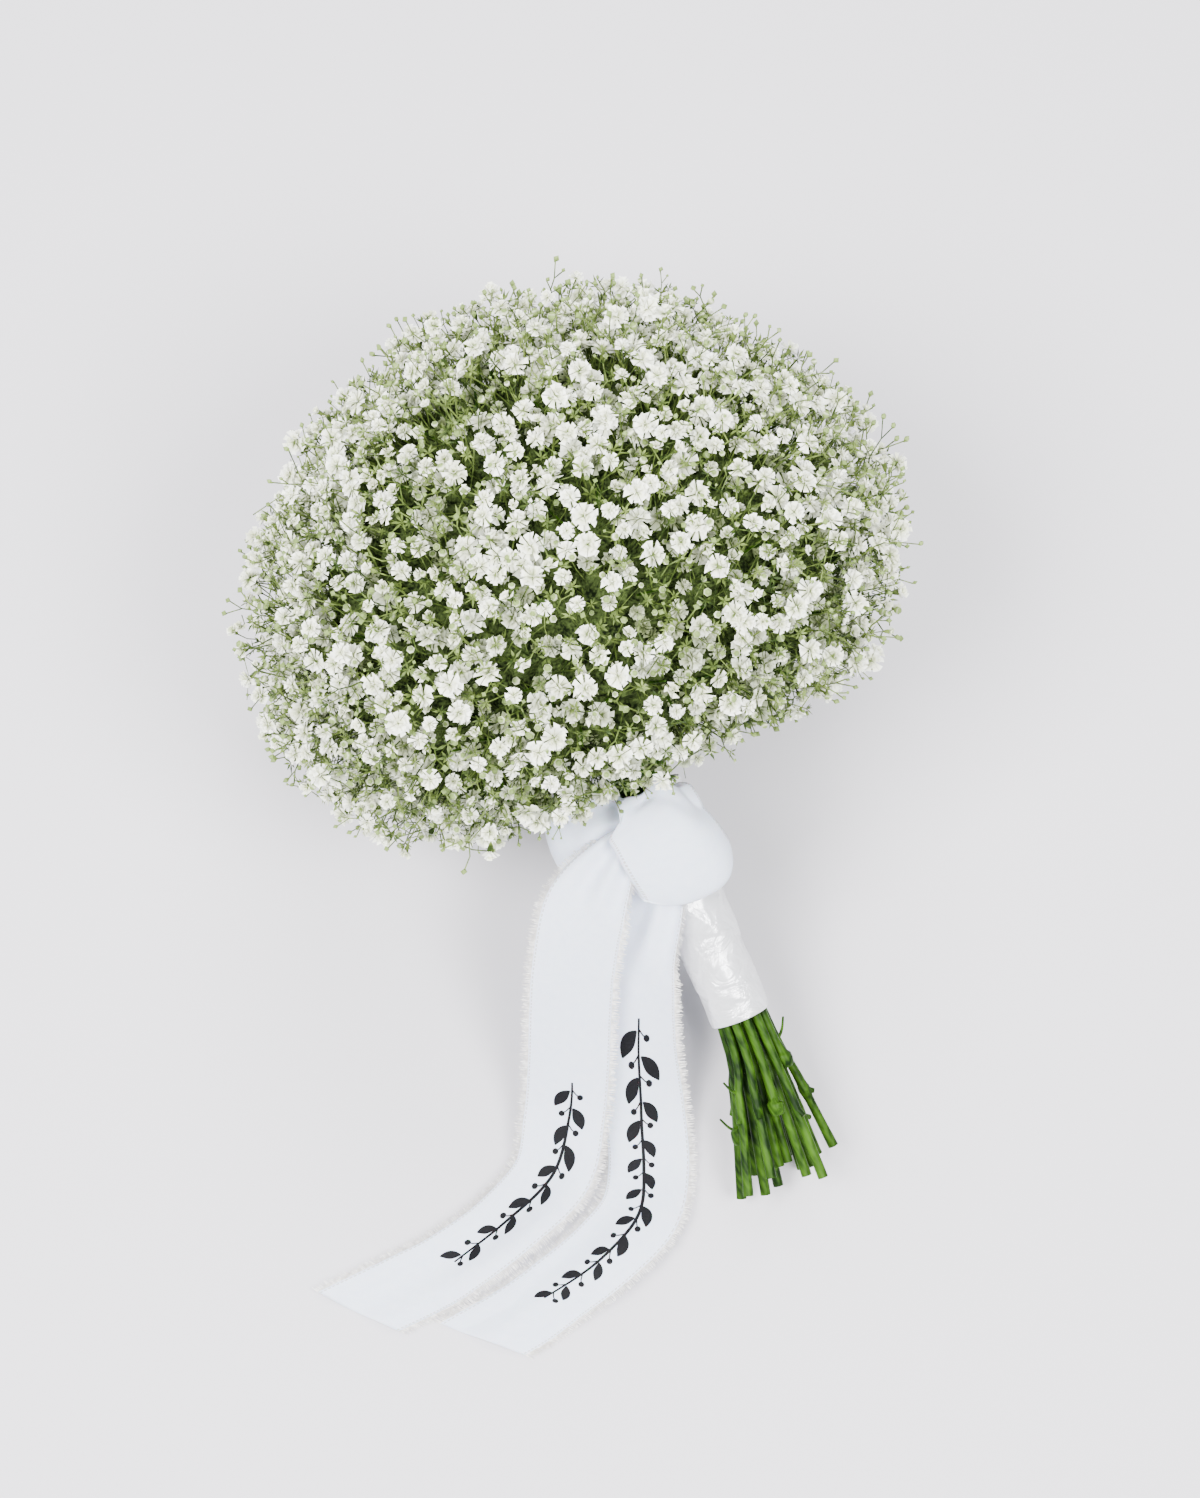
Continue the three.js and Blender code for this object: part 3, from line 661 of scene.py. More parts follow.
# %% Bract meshes
def leaflet(azimuth, raised, length, width):
    """A pointed leaflet from the middle of its whorl, in mm."""
    widest = length * 0.45
    flat = [
        (0.2, 0, 0), (widest, -width / 2, 0.15), (length, 0, 0), (widest, width / 2, 0.15), (widest, 0, -0.3)
    ]
    vertices = []
    for x, y, z in flat:
        along = x * math.cos(raised) - z * math.sin(raised)
        up = x * math.sin(raised) + z * math.cos(raised)
        east = along * math.cos(azimuth) - y * math.sin(azimuth)
        north = along * math.sin(azimuth) + y * math.cos(azimuth)
        vertices.append((east, north, up))
    return vertices, [(0, 3, 1), (1, 3, 2), (4, 0, 1), (4, 1, 2), (4, 2, 3), (4, 3, 0)]


def bract_mesh(name, seed):
    """Six leaflets round the top of a short stalk, each raised by its own angle."""
    draw = random.Random(seed)
    parts = [tube([(1, 1, -14), (0, 0, 0.3)], (0.32, 0.3), 3)]
    for i in range(6):
        azimuth = (i + 0.5 * draw.random()) * math.pi / 3
        parts.append(leaflet(azimuth, math.radians(10 + 50 * draw.random()), 2.6 + 2.2 * draw.random(), 1.0))
    return joined_mesh(name, parts)


bracts = keep_aside("bract", [bract_mesh(f"bract_mesh_{i}", 80 + i) for i in range(4)])
nothing = keep_aside("nothing", [])

# %% [markdown]
# ## Scattering over the head
#
# The flowers sit in three layers, an outer one that makes the cushion and two looser ones below it that
# show through the gaps. A shell with all three, split into the nineteen patches, is what the tree scatters
# over. Towards the stems all layers draw in a little, so the lower rim is rounded.

# %% Shell for the scatter
# the level of each layer, as a share of the outline, and how full it is
LAYERS = ((0.945, 1.0), (0.87, 0.7), (0.8, 0.45))
POLAR_STEP, AZIMUTH_STEP = 4.0, 5.0
TUCK, TUCK_START, TUCK_LENGTH = 0.055, math.radians(95), 0.5


def head_shell():
    """The layers as one object of quads, each with its patch and its fullness."""
    polars = np.unique(np.radians(np.concatenate([np.arange(0, 146, POLAR_STEP), EDGE_ANGLES[1:]])))
    azimuths = np.radians(np.arange(0, 360, AZIMUTH_STEP))
    vertices, faces, patches, fullness = [], [], [], []
    for level, full in LAYERS:
        first = len(vertices)
        for polar in polars:
            tucked = level - TUCK * smoothstep(polar - TUCK_START, TUCK_LENGTH)
            vertices += list(laid(head_point(polar, azimuths, tucked)))
        n = len(azimuths)
        for r in range(len(polars) - 1):
            for i in range(n):
                j = (i + 1) % n
                row, above = first + r * n, first + (r + 1) * n
                faces.append((row + i, row + j, above + j, above + i))
                middle = azimuths[i] + math.radians(AZIMUTH_STEP / 2)
                patches.append(patch_at((polars[r] + polars[r + 1]) / 2, middle))
                fullness.append(full)
    shell = new_object("head_shell", vertices, faces)
    shell.data.attributes.new("patch", "INT", "FACE").data.foreach_set("value", patches)
    shell.data.attributes.new("fullness", "FLOAT", "FACE").data.foreach_set("value", fullness)
    return shell


shell = head_shell()
centre = laid([HEAD_SIDE, HEAD_CENTRE, 0])
outward = sum(1 for p in shell.data.polygons if (Vector(p.center) - Vector(centre)).dot(p.normal) > 0)
if outward < len(shell.data.polygons) / 2:
    shell.data.flip_normals()
print("shell faces that face outwards", outward, "of", len(shell.data.polygons))

# %% [markdown]
# ## A tree that scatters one kind of thing
#
# Poisson Disk spreads points over the shell with a least distance between them, fewer in the looser layers
# and in random thin spots, because a real head is made of clusters. Only the points of one patch stay, and
# right above the bow there are none, so that the top of its loop shows. The same seed places the stalks, so
# each stalk is under its flower.

# %% Scatter tree: where things grow
FLOAT = "NodeSocketFloat"
# in metres, and in points on a square metre
CLUSTER_SIZE = 0.026
MOST_POINTS = 60000.0
# the bare place above the bow: its middle, in mm along the axis, and its radius in metres
PARTING, PARTING_RADIUS = [0, 188, 84], 0.021
scatter, given, result = new_tree(
    "Scatter over the head",
    {
        "Head": "NodeSocketGeometry", "Patch": "NodeSocketInt", "Kinds": "NodeSocketCollection",
        "Spacing": FLOAT, "Outset": FLOAT, "Spread": FLOAT, "Lumps": FLOAT, "Lean": FLOAT,
        "Smallest": FLOAT, "Largest": FLOAT, "Layers": FLOAT, "Gaps": FLOAT, "Seed": "NodeSocketInt",
    },
)
cluster = add_node(scatter, "ShaderNodeTexNoise", {"Scale": 1 / CLUSTER_SIZE, "Detail": 1.0})
thin = add_node(scatter, "ShaderNodeMath", {0: 1.0, 1: given["Gaps"]}, operation="SUBTRACT")
crowd = add_node(
    scatter, "ShaderNodeMapRange",
    {
        "Value": cluster.outputs["Fac"], "From Min": 0.43, "From Max": 0.52, "To Min": thin.outputs[0],
        "To Max": 1.0,
    },
)
layer = add_node(scatter, "GeometryNodeInputNamedAttribute", {"Name": "fullness"}, data_type="FLOAT")
fill = add_node(
    scatter, "ShaderNodeMath", {0: layer.outputs["Attribute"], 1: given["Layers"]}, operation="GREATER_THAN"
)
fill = add_node(
    scatter, "ShaderNodeMath", {0: fill.outputs[0], 1: layer.outputs["Attribute"]}, operation="MULTIPLY"
)
fill = add_node(scatter, "ShaderNodeMath", {0: fill.outputs[0], 1: crowd.outputs[0]}, operation="MULTIPLY")
points = add_node(
    scatter, "GeometryNodeDistributePointsOnFaces",
    {"Mesh": given["Head"], "Distance Min": given["Spacing"], "Density Max": MOST_POINTS,
     "Density Factor": fill.outputs[0], "Seed": given["Seed"]},
    distribute_method="POISSON",
)
patch = add_node(scatter, "GeometryNodeInputNamedAttribute", {"Name": "patch"}, data_type="INT")
other = add_node(scatter, "FunctionNodeCompare", data_type="INT", operation="NOT_EQUAL")
scatter.links.new(patch.outputs["Attribute"], other.inputs[2])
scatter.links.new(given["Patch"], other.inputs[3])
here = add_node(scatter, "GeometryNodeInputPosition")
bow_top = tuple(laid(PARTING))
near_bow = add_node(scatter, "ShaderNodeVectorMath", {0: here.outputs[0], 1: bow_top}, operation="DISTANCE")
near_bow = add_node(
    scatter, "ShaderNodeMath", {0: near_bow.outputs["Value"], 1: PARTING_RADIUS}, operation="LESS_THAN"
)
away = add_node(
    scatter, "FunctionNodeBooleanMath", {0: other.outputs[0], 1: near_bow.outputs[0]}, operation="OR"
)
own = add_node(
    scatter, "GeometryNodeDeleteGeometry",
    {"Geometry": points.outputs["Points"], "Selection": away.outputs[0]}, domain="POINT",
)
print("nodes so far", len(scatter.nodes))

# %% [markdown]
# ## How they stand
#
# The points are pushed in and out, by clusters and one by one, so that the cushion is lumpy. Each flower
# leans its own way and a little upwards, to the light, and is turned about its stalk by a random angle.

# %% Scatter tree: how things stand
# how strongly a flower turns up, where 1 is as strong as the direction in which it grows
TOWARDS_LIGHT = (0, 0, 0.7)
lump = add_node(scatter, "ShaderNodeMath", {0: cluster.outputs["Fac"], 1: 0.5}, operation="SUBTRACT")
lump = add_node(
    scatter, "ShaderNodeMath", {0: lump.outputs[0], 1: given["Lumps"], 2: given["Outset"]},
    operation="MULTIPLY_ADD",
)
push = add_node(scatter, "FunctionNodeRandomValue", {"Seed": 3}, data_type="FLOAT")
push = add_node(scatter, "ShaderNodeMath", {0: push.outputs[1], 1: 0.5}, operation="SUBTRACT")
push = add_node(
    scatter, "ShaderNodeMath", {0: push.outputs[0], 1: given["Spread"], 2: lump.outputs[0]},
    operation="MULTIPLY_ADD",
)
offset = add_node(
    scatter, "ShaderNodeVectorMath", {0: points.outputs["Normal"], "Scale": push.outputs[0]},
    operation="SCALE",
)
pushed = add_node(
    scatter, "GeometryNodeSetPosition", {"Geometry": own.outputs[0], "Offset": offset.outputs[0]}
)
tilt = add_node(
    scatter, "FunctionNodeRandomValue", {"Min": (-1, -1, -1), "Max": (1, 1, 1), "Seed": 5},
    data_type="FLOAT_VECTOR",
)
tilt = add_node(
    scatter, "ShaderNodeVectorMath", {0: tilt.outputs[0], "Scale": given["Lean"]}, operation="SCALE"
)
facing = add_node(
    scatter, "ShaderNodeVectorMath", {0: points.outputs["Normal"], 1: tilt.outputs[0]}, operation="ADD"
)
facing = add_node(scatter, "ShaderNodeVectorMath", {0: facing.outputs[0], 1: TOWARDS_LIGHT}, operation="ADD")
stand = add_node(scatter, "FunctionNodeAlignRotationToVector", {"Vector": facing.outputs[0]}, axis="Z")
angle = add_node(scatter, "FunctionNodeRandomValue", {"Seed": 6}, data_type="FLOAT")
angle = add_node(scatter, "ShaderNodeMath", {0: angle.outputs[1], 1: 6.283}, operation="MULTIPLY")
spin = add_node(scatter, "FunctionNodeAxisAngleToRotation", {"Axis": (0, 0, 1), "Angle": angle.outputs[0]})
turned = add_node(
    scatter, "FunctionNodeRotateRotation", {0: stand.outputs[0], 1: spin.outputs[0]}, rotation_space="LOCAL"
)
print("nodes so far", len(scatter.nodes))

# %% [markdown]
# ## The copies
#
# Each point gets one of the meshes that were kept aside, at a random size. The pick is a number from 0 to
# 11, and Blender counts on from the first mesh where there are fewer than twelve.

# %% Scatter tree: the copies
LAST_PICK = 11
kinds = add_node(
    scatter, "GeometryNodeCollectionInfo",
    {"Collection": given["Kinds"], "Separate Children": True, "Reset Children": True},
)
grown = add_node(scatter, "FunctionNodeRandomValue", {"Seed": 8}, data_type="FLOAT")
grown = add_node(
    scatter, "ShaderNodeMapRange",
    {"Value": grown.outputs[1], "To Min": given["Smallest"], "To Max": given["Largest"]},
)
chosen = add_node(scatter, "FunctionNodeRandomValue", {4: 0, 5: LAST_PICK, "Seed": 9}, data_type="INT")
copies = add_node(
    scatter, "GeometryNodeInstanceOnPoints",
    {"Points": pushed.outputs[0], "Instance": kinds.outputs[0], "Pick Instance": True,
     "Instance Index": chosen.outputs[2], "Rotation": turned.outputs[0], "Scale": grown.outputs[0]},
)
scatter.links.new(copies.outputs[0], result.inputs[0])
print("nodes in the whole tree", len(scatter.nodes))

# %% [markdown]
# ## One stem's spray
#
# A tree can be a node in another tree. This one runs the scatter four times, for flowers, buds, wisps and
# bracts, each with its own spacing and lean, and joins what they make. Where the head presses on the table,
# everything is flattened to stay above it.

# %% Spray tree, which runs the scatter four times
def kept_above(tree, geometry, lowest):
    """The geometry with every point that is below the lowest height raised to it."""
    here = add_node(tree, "GeometryNodeInputPosition")
    split = add_node(tree, "ShaderNodeSeparateXYZ", {0: here.outputs[0]})
    above = add_node(tree, "ShaderNodeMath", {0: split.outputs[2], 1: lowest}, operation="MAXIMUM")
    place = add_node(
        tree, "ShaderNodeCombineXYZ", {0: split.outputs[0], 1: split.outputs[1], 2: above.outputs[0]}
    )
    raised = add_node(tree, "GeometryNodeSetPosition", {"Geometry": geometry, "Position": place.outputs[0]})
    return raised.outputs[0]


spray, given, result = new_tree(
    "Spray of one stem",
    {
        "Head": "NodeSocketGeometry", "Patch": "NodeSocketInt", "Flowers": "NodeSocketCollection",
        "Buds": "NodeSocketCollection", "Wisps": "NodeSocketCollection", "Bracts": "NodeSocketCollection",
        "Flower spacing": FLOAT, "Bud spacing": FLOAT, "Wisp spacing": FLOAT, "Bract spacing": FLOAT,
        "Table height": FLOAT, "Finish": "NodeSocketMaterial",
    },
)
joined = add_node(spray, "GeometryNodeJoinGeometry")
SCATTERS = (
    # what is scattered, its spacing, outset, spread and lumps in metres, lean, sizes, least layer, gaps, seed
    ("Flowers", "Flower spacing", 0.0, 0.014, 0.036, 0.85, 0.66, 1.12, 0.1, 0.66, 21),
    ("Buds", "Bud spacing", 0.002, 0.011, 0.03, 0.7, 0.65, 1.15, 0.6, 0.0, 22),
    ("Wisps", "Wisp spacing", 0.004, 0.01, 0.02, 0.6, 0.75, 1.15, 0.7, 0.0, 23),
    ("Bracts", "Bract spacing", 0.001, 0.013, 0.02, 0.7, 0.8, 1.3, 0.5, 0.0, 24),
)
for kind, spacing, outset, spread, lumps, lean, smallest, largest, layers, gaps, seed in SCATTERS:
    run = add_node(spray, "GeometryNodeGroup", node_tree=scatter)
    for label, value in {
        "Head": given["Head"], "Patch": given["Patch"], "Kinds": given[kind], "Spacing": given[spacing],
        "Outset": outset, "Spread": spread, "Lumps": lumps, "Lean": lean, "Smallest": smallest,
        "Largest": largest, "Layers": layers, "Gaps": gaps, "Seed": seed,
    }.items():
        if isinstance(value, bpy.types.NodeSocket):
            spray.links.new(value, run.inputs[label])
        else:
            run.inputs[label].default_value = value
    spray.links.new(run.outputs[0], joined.inputs[0])
solid = add_node(spray, "GeometryNodeRealizeInstances", {"Geometry": joined.outputs[0]})
pressed = kept_above(spray, solid.outputs[0], given["Table height"])
finished = add_node(spray, "GeometryNodeSetMaterial", {"Geometry": pressed, "Material": given["Finish"]})
spray.links.new(finished.outputs[0], result.inputs[0])
print("runs of the scatter in a spray", len(SCATTERS))

# %% [markdown]
# ## The green of stems, stalks and twigs
#
# Fresh stems are waxy: a deep green with paler streaks along them and a soft gloss. On the thick stems the
# streaks come from a noise that is stretched along the handle's axis, and their slanting cuts show the pale
# pith. The thin flower stalks are paler and yellower, and a painted shade darkens them inside the head. The
# imported twigs are rough and nearly black, because they stand for gaps that no light comes out of: their
# colour is painted shade.

# %% Green materials
# how strongly the tone drifts along with the streaks, and the sums of both that give the dark and light tone
DRIFT, DARKEST, LIGHTEST = 0.7, 0.66, 1.12
# how far a face looks back along the axis where the pith starts to show and where it shows fully
PITH_STARTS, PITH_FULL = -0.8, -0.95


def green_material(name, dark, light, scale, roughness, gloss, cut=None, deep=None):
    """A green with streaks of a tone that drifts from piece to piece. A cut colour shows the pale pith on
    the faces that look back along the handle's axis, and a deep tone shades it inside the head."""
    material, tree, shader = new_material(name)
    place = add_node(tree, "ShaderNodeTexCoord")
    along = add_node(
        tree, "ShaderNodeMapping",
        {"Vector": place.outputs["Object"], "Rotation": (-TILT, 0, 0), "Scale": scale},
    )
    streak = add_node(tree, "ShaderNodeTexNoise", {"Vector": along.outputs[0], "Scale": 1.0, "Detail": 2.0})
    drift = add_node(tree, "ShaderNodeTexNoise", {"Vector": along.outputs[0], "Scale": 0.24, "Detail": 1.0})
    mixed = add_node(
        tree, "ShaderNodeMath", {0: drift.outputs["Fac"], 1: DRIFT, 2: streak.outputs["Fac"]},
        operation="MULTIPLY_ADD",
    )
    tone = add_node(
        tree, "ShaderNodeMapRange", {"Value": mixed.outputs[0], "From Min": DARKEST, "From Max": LIGHTEST}
    )
    ramp = add_node(tree, "ShaderNodeValToRGB", {"Fac": tone.outputs[0]})
    ramp.color_ramp.elements[0].color, ramp.color_ramp.elements[1].color = linear(dark), linear(light)
    colour = ramp.outputs["Color"]
    if cut:
        form = add_node(tree, "ShaderNodeNewGeometry")
        axis = (0, math.cos(TILT), math.sin(TILT))
        back = add_node(
            tree, "ShaderNodeVectorMath", {0: form.outputs["True Normal"], 1: axis}, operation="DOT_PRODUCT"
        )
        pith = add_node(
            tree, "ShaderNodeMapRange",
            {"Value": back.outputs["Value"], "From Min": PITH_STARTS, "From Max": PITH_FULL}
        )
        mix = add_node(
            tree, "ShaderNodeMix", {0: pith.outputs[0], 6: colour, 7: linear(cut)}, data_type="RGBA"
        )
        colour = mix.outputs[2]
    bump = add_node(
        tree, "ShaderNodeBump", {"Height": streak.outputs["Fac"], "Strength": 0.12, "Distance": 0.0004}
    )
    if deep:
        colour = depth_shade(tree, colour, deep)
    tree.links.new(colour, shader.inputs["Base Color"])
    tree.links.new(bump.outputs[0], shader.inputs["Normal"])
    shader.inputs["Roughness"].default_value = roughness
    shader.inputs["Specular IOR Level"].default_value = gloss
    return material


# Soft young skin: a yellowish green that changes every few millimetres, with a faint gloss. Deep in the
# head a painted shade darkens it.
stalk_green = green_material(
    "flower_stalk_green", "#2b3c17", "#7b8d49", (300, 300, 300), 0.5, 0.15, deep="#bcc6a8"
)
# A firm waxy skin: long dark streaks two millimetres wide, and a dim highlight along each stem.
stem_green = green_material(
    "waxy_stem_green", "#0d1f06", "#3a5c15", (480, 14, 480), 0.42, 0.06, cut="#8b9f5c"
)
# A tangle of twigs in shade: small specks of green in the dark, without gloss. The near-black is painted
# shade.
twig_shade_green = green_material("packed_twig_shade_green", "#10180a", "#4f5f33", (700, 700, 700), 0.85, 0.03)
print("greens", [green.name for green in (stalk_green, stem_green, twig_shade_green)])

# %% [markdown]
# ## The nineteen sprays
#
# The spray runs twice for each stem, once with flowers and buds in white and once with their stalks in
# green, because a finish is a piece of its own. The white piece takes the place of the model's plain spray.

# %% Flowers and stalks of each stem
# least distances and the height of the lowest point over the table, in metres
SPACINGS = {
    "Flower spacing": 0.0074, "Bud spacing": 0.0096, "Wisp spacing": 0.0175, "Bract spacing": 0.0094,
    "Table height": 0.0004,
}
total = 0
for number in STEMS:
    blooms = run_tree(
        f"blooms_{number:02d}", shell, spray,
        {"Patch": number, "Flowers": flowers, "Buds": buds, "Wisps": wisp_buds, "Bracts": nothing,
         "Finish": petal, **SPACINGS},
    )
    green = run_tree(
        f"flower_stalks_{number:02d}", shell, spray,
        {"Patch": number, "Flowers": stalks, "Buds": bud_stalks, "Wisps": wisp_twigs, "Bracts": bracts,
         "Finish": stalk_green, **SPACINGS},
    )
    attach(blooms, "root")
    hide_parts(f"florets_{number:02d}")
    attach(green, "root")
    total += triangles(blooms) + triangles(green)
print("triangles in all flowers, buds and stalks", total)

# %% [markdown]
# ## The imported twigs under the flowers
#
# Deep in the gaps between the flowers it is dark green: the twigs are packed so densely there that no light
# comes through. A rough, closed shell under the flowers stands for them, pushed in and out by noise so that
# it never looks smooth, and its near-black green is painted shade. It is open where the stems come in.

# %% Packed twigs
import bmesh

# the level of the outer and the inner skin, as a share of the outline, and how rough each is
TWIG_SKINS = ((0.75, 0.02), (0.68, 0.0))


def packed_twigs():
    """The shell's points and faces: the outer skin, the inner one and the rim that joins them."""
    polars = np.radians(np.linspace(0, 146, 60))
    azimuths = np.radians(np.arange(0, 360, 3.0))
    draw = np.random.default_rng(5)
    n, rows = len(azimuths), len(polars)
    vertices, faces = [], []
    for level, rough in TWIG_SKINS:
        for polar in polars:
            jitter = draw.normal(0, rough, n) * (polar > 0.05)
            vertices += list(laid(head_point(polar, azimuths, level + jitter)))
    inner = rows * n
    for r in range(rows - 1):
        for i in range(n):
            j = (i + 1) % n
            quad = (r * n + i, r * n + j, (r + 1) * n + j, (r + 1) * n + i)
            faces += [quad, tuple(inner + v for v in quad[::-1])]
    rim = (rows - 1) * n
    for i in range(n):
        j = (i + 1) % n
        faces.append((rim + i, rim + j, inner + rim + j, inner + rim + i))
    return vertices, faces


def tidy_mesh(obj):
    """Merges doubled points and turns all faces outwards."""
    work = bmesh.new()
    work.from_mesh(obj.data)
    bmesh.ops.remove_doubles(work, verts=work.verts, dist=1e-6)
    bmesh.ops.dissolve_degenerate(work, edges=work.edges, dist=1e-7)
    bmesh.ops.recalc_face_normals(work, faces=work.faces)
    work.to_mesh(obj.data)
    work.free()
    obj.data.update()


vertices, faces = packed_twigs()
twig_mass = new_object("packed_twigs", vertices, faces, twig_shade_green)
tidy_mesh(twig_mass)
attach(twig_mass, "root")
print("triangles in the packed twigs", triangles(twig_mass))

# %% [markdown]
# ## The cut stems
#
# Each stem is a path with a thickness at each point: a cut end, a swollen node, on the outer stems with the
# stub of a trimmed twig, the straight run through the handle, and the fan of branches inside the head. Paths
# with a thickness are what curves are for, so each stem is a set of curves and one tree gives them their
# round section. The cuts and nodes are drawn from the same seeded numbers as in the model, so each stem
# stays on its solid.

# %% The model's seeded numbers
def model_draw(seed):
    """The draw of numbers from 0 to 1 that the model's source uses."""
    state = seed
    word = 0xFFFFFFFF

    def draw():
        nonlocal state
        state = (state + 0x6D2B79F5) & word
        t = ((state ^ (state >> 15)) * (1 | state)) & word
        t = ((t + (((t ^ (t >> 7)) * (61 | t)) & word)) & word) ^ t
        return (t ^ (t >> 14)) / (word + 1)

    return draw


def lifted(point, clearance):
    """The point, in mm along the axis, raised if it would be nearer to the table than the clearance."""
    up = np.array([0, math.sin(TILT), math.cos(TILT)])
    height = ENDS_HEIGHT + np.dot(point, up)
    return np.asarray(point, float) + up * max(0, clearance - height)


def smooth_path(marks, steps):
    """A Catmull-Rom line through marks, with the same number of steps between each two."""
    marks = np.asarray(marks, float)
    padded = np.vstack([2 * marks[0] - marks[1], marks, 2 * marks[-1] - marks[-2]])
    line = []
    for a, b, c, d in zip(padded[:-3], padded[1:-2], padded[2:-1], padded[3:]):
        for t in np.linspace(0, 1, steps, endpoint=False):
            square, cube = 2 * a - 5 * b + 4 * c - d, 3 * b - a - 3 * c + d
            line.append(0.5 * (2 * b + (c - a) * t + square * t**2 + cube * t**3))
    return np.array(line + [marks[-1]])


first_numbers = model_draw(501)
print("first numbers for stem 1", [round(first_numbers(), 3) for _ in range(3)])

# %% [markdown]
# ## Where a stem runs
#
# The course starts at the cut, which is higher on some stems, and bows a little in the free stretch below
# the wrap. Through the handle the stems are parallel, one pitch apart. Above the neck each stem forks into
# three branches, towards the top and the two lower corners of its patch, and each ends in four fine twigs.

# %% Measures of the stems
# in mm: how far apart the stems are in the wrap and at their ends, and how much the cuts differ
STEM_PITCH, ENDS_PITCH, CUT_SPREAD = 4.9, 9.8, 12
# in mm along the axis
WRAP_BOTTOM, WRAP_TOP, NECK_HEIGHT = 78, 187, 191
# in mm: how far a stem in the middle bows at its cut end, and how far to the right none would bow
STEM_BEND, HANDLE_SIDE = 9, 45
# in mm: the radius of a stem, of its cut end, of the knob on a short stem and of the other stems' nodes
STEM_RADIUS, CUT_RADIUS, KNOB_RADIUS, NODE_RADII = 2.0, 2.3, 3.7, (2.5, 3.3)
# levels in the head: where side stems and the middle stem fork, and where branches and fine twigs end
FORK_LEVEL, MIDDLE_FORK_LEVEL, ROOT_LEVEL, TWIG_LEVEL = 0.36, 0.3, 0.75, 0.84
# the polar angle at which the twelve outer stems fork
LOW_FORK = math.radians(104)
# stems that end higher up, or carry a thin side twig as well, and where, in mm along the axis
SHORT_CUTS = {9: 50, 11: 34, 14: 26}
TWIG_SPOTS = {13: 48, 15: 30, 8: 62}
print("stems that end higher up", sorted(SHORT_CUTS), "with a thin side twig", sorted(TWIG_SPOTS))

# %% The course of a stem
def stem_course(number):
    """The paths of one stem, each a list of points and a list of radii in mm."""
    ring, azimuth = patch_middle(number)
    draw = model_draw(500 + number)
    out = np.array([math.cos(azimuth), 0, math.sin(azimuth)])
    short = SHORT_CUTS.get(number)
    cut, node = (short, short + 5.5) if short else (CUT_SPREAD * draw(), 24 + 36 * draw())
    wander = np.array([draw() - 0.5, 0, draw() - 0.5]) * 4
    swollen = KNOB_RADIUS if short else NODE_RADII[0] + (NODE_RADII[1] - NODE_RADII[0]) * draw() ** 2

    def free(height):
        """The stem's middle at a height below the wrap."""
        share = min(max(height / WRAP_BOTTOM, 0), 1)
        pitch = ENDS_PITCH + (STEM_PITCH - ENDS_PITCH) * share
        point = out * ring * pitch + (0, height, 0) + wander * (1 - height / WRAP_BOTTOM)
        bow = STEM_BEND * (1 - point[0] / HANDLE_SIDE) * max(1 - height / WRAP_BOTTOM, 0) ** 1.4
        return point - (bow, 0, 0)

    at_wrap = out * ring * STEM_PITCH + (0, WRAP_BOTTOM, 0)
    neck = out * ring * STEM_PITCH + (0, NECK_HEIGHT, 0)
    low, high = PATCH_EDGES[ring], PATCH_EDGES[ring + 1]
    middle, spread, half = (low + high) / 2, (high - low) / 4, math.pi / RINGS[ring]
    if ring:
        fork = head_point(LOW_FORK if ring == 2 else middle, azimuth, FORK_LEVEL)
        lower = middle + spread * 0.6
        spots = [(middle - spread, azimuth), (lower, azimuth + half * 0.5), (lower, azimuth - half * 0.5)]
    else:
        fork = head_point(0, 0, MIDDLE_FORK_LEVEL)
        spots = [(math.radians(13), i * 2 * math.pi / 3) for i in range(3)]
    ends = [head_point(polar, turn, ROOT_LEVEL) for polar, turn in spots]
    reach = 4 if short else 7
    marks = [free(cut), free(node - reach), free(node), free(node + reach), at_wrap, neck]
    marks += [neck * 0.65 + fork * 0.35, fork, ends[0]]
    bulge = [swollen - 0.4, swollen, 2.2] if short else [2.0, swollen - 0.4, 2.05]
    radii = [CUT_RADIUS, *bulge, STEM_RADIUS, STEM_RADIUS, 1.9, 1.7, 1.2]
    marks = [lifted(point, radius) for point, radius in zip(marks, radii)]
    thickness = smooth_path(np.array(radii)[:, None], 5)[:, 0]
    line = smooth_path(marks, 5)
    courses = [(line, thickness)]
    for end in ends[1:]:
        courses.append((smooth_path([fork, (fork + end) / 2, end], 4), np.linspace(1.5, 1.1, 9)))
    if ring == 2:
        tip = marks[2] + out * (2.8 + 1.4 * draw())
        tip[1] -= 2.4 + 2.4 * draw()
        courses.append((np.array([marks[2], (marks[2] + tip) / 2, lifted(tip, 1.2)]), [1.7, 1.4, 1.1]))
    if number in TWIG_SPOTS:
        start = free(TWIG_SPOTS[number])
        bend = start + out * 3 + (0, 3, 0)
        courses.append(
            (smooth_path([start, bend, bend + out * 2.5 + (0, 5, 1)], 3), np.linspace(0.8, 0.45, 7))
        )
    wild = random.Random(number)
    for end, (polar, turn) in zip(ends, spots):
        start = fork * 0.45 + end * 0.55
        for _ in range(4):
            goal_polar = polar + 0.5 * spread * wild.uniform(-2.2, 2.2)
            goal_turn = turn + (half if ring else 1.0) * wild.uniform(-0.6, 0.6)
            goal = head_point(goal_polar, goal_turn, TWIG_LEVEL)
            bend = (start + goal) / 2 + np.array([wild.uniform(-4, 4) for _ in range(3)])
            courses.append((smooth_path([start, bend, goal], 3), np.linspace(0.9, 0.5, 7)))
    return courses


print("paths in stem 1 and in stem 8", len(stem_course(1)), len(stem_course(8)))

# %% [markdown]
# ## A round section along a path
#
# Curve to Mesh sweeps a circle along every path, scaled by the thickness at each point, and closes the ends
# flat, which is what a cut stem looks like.

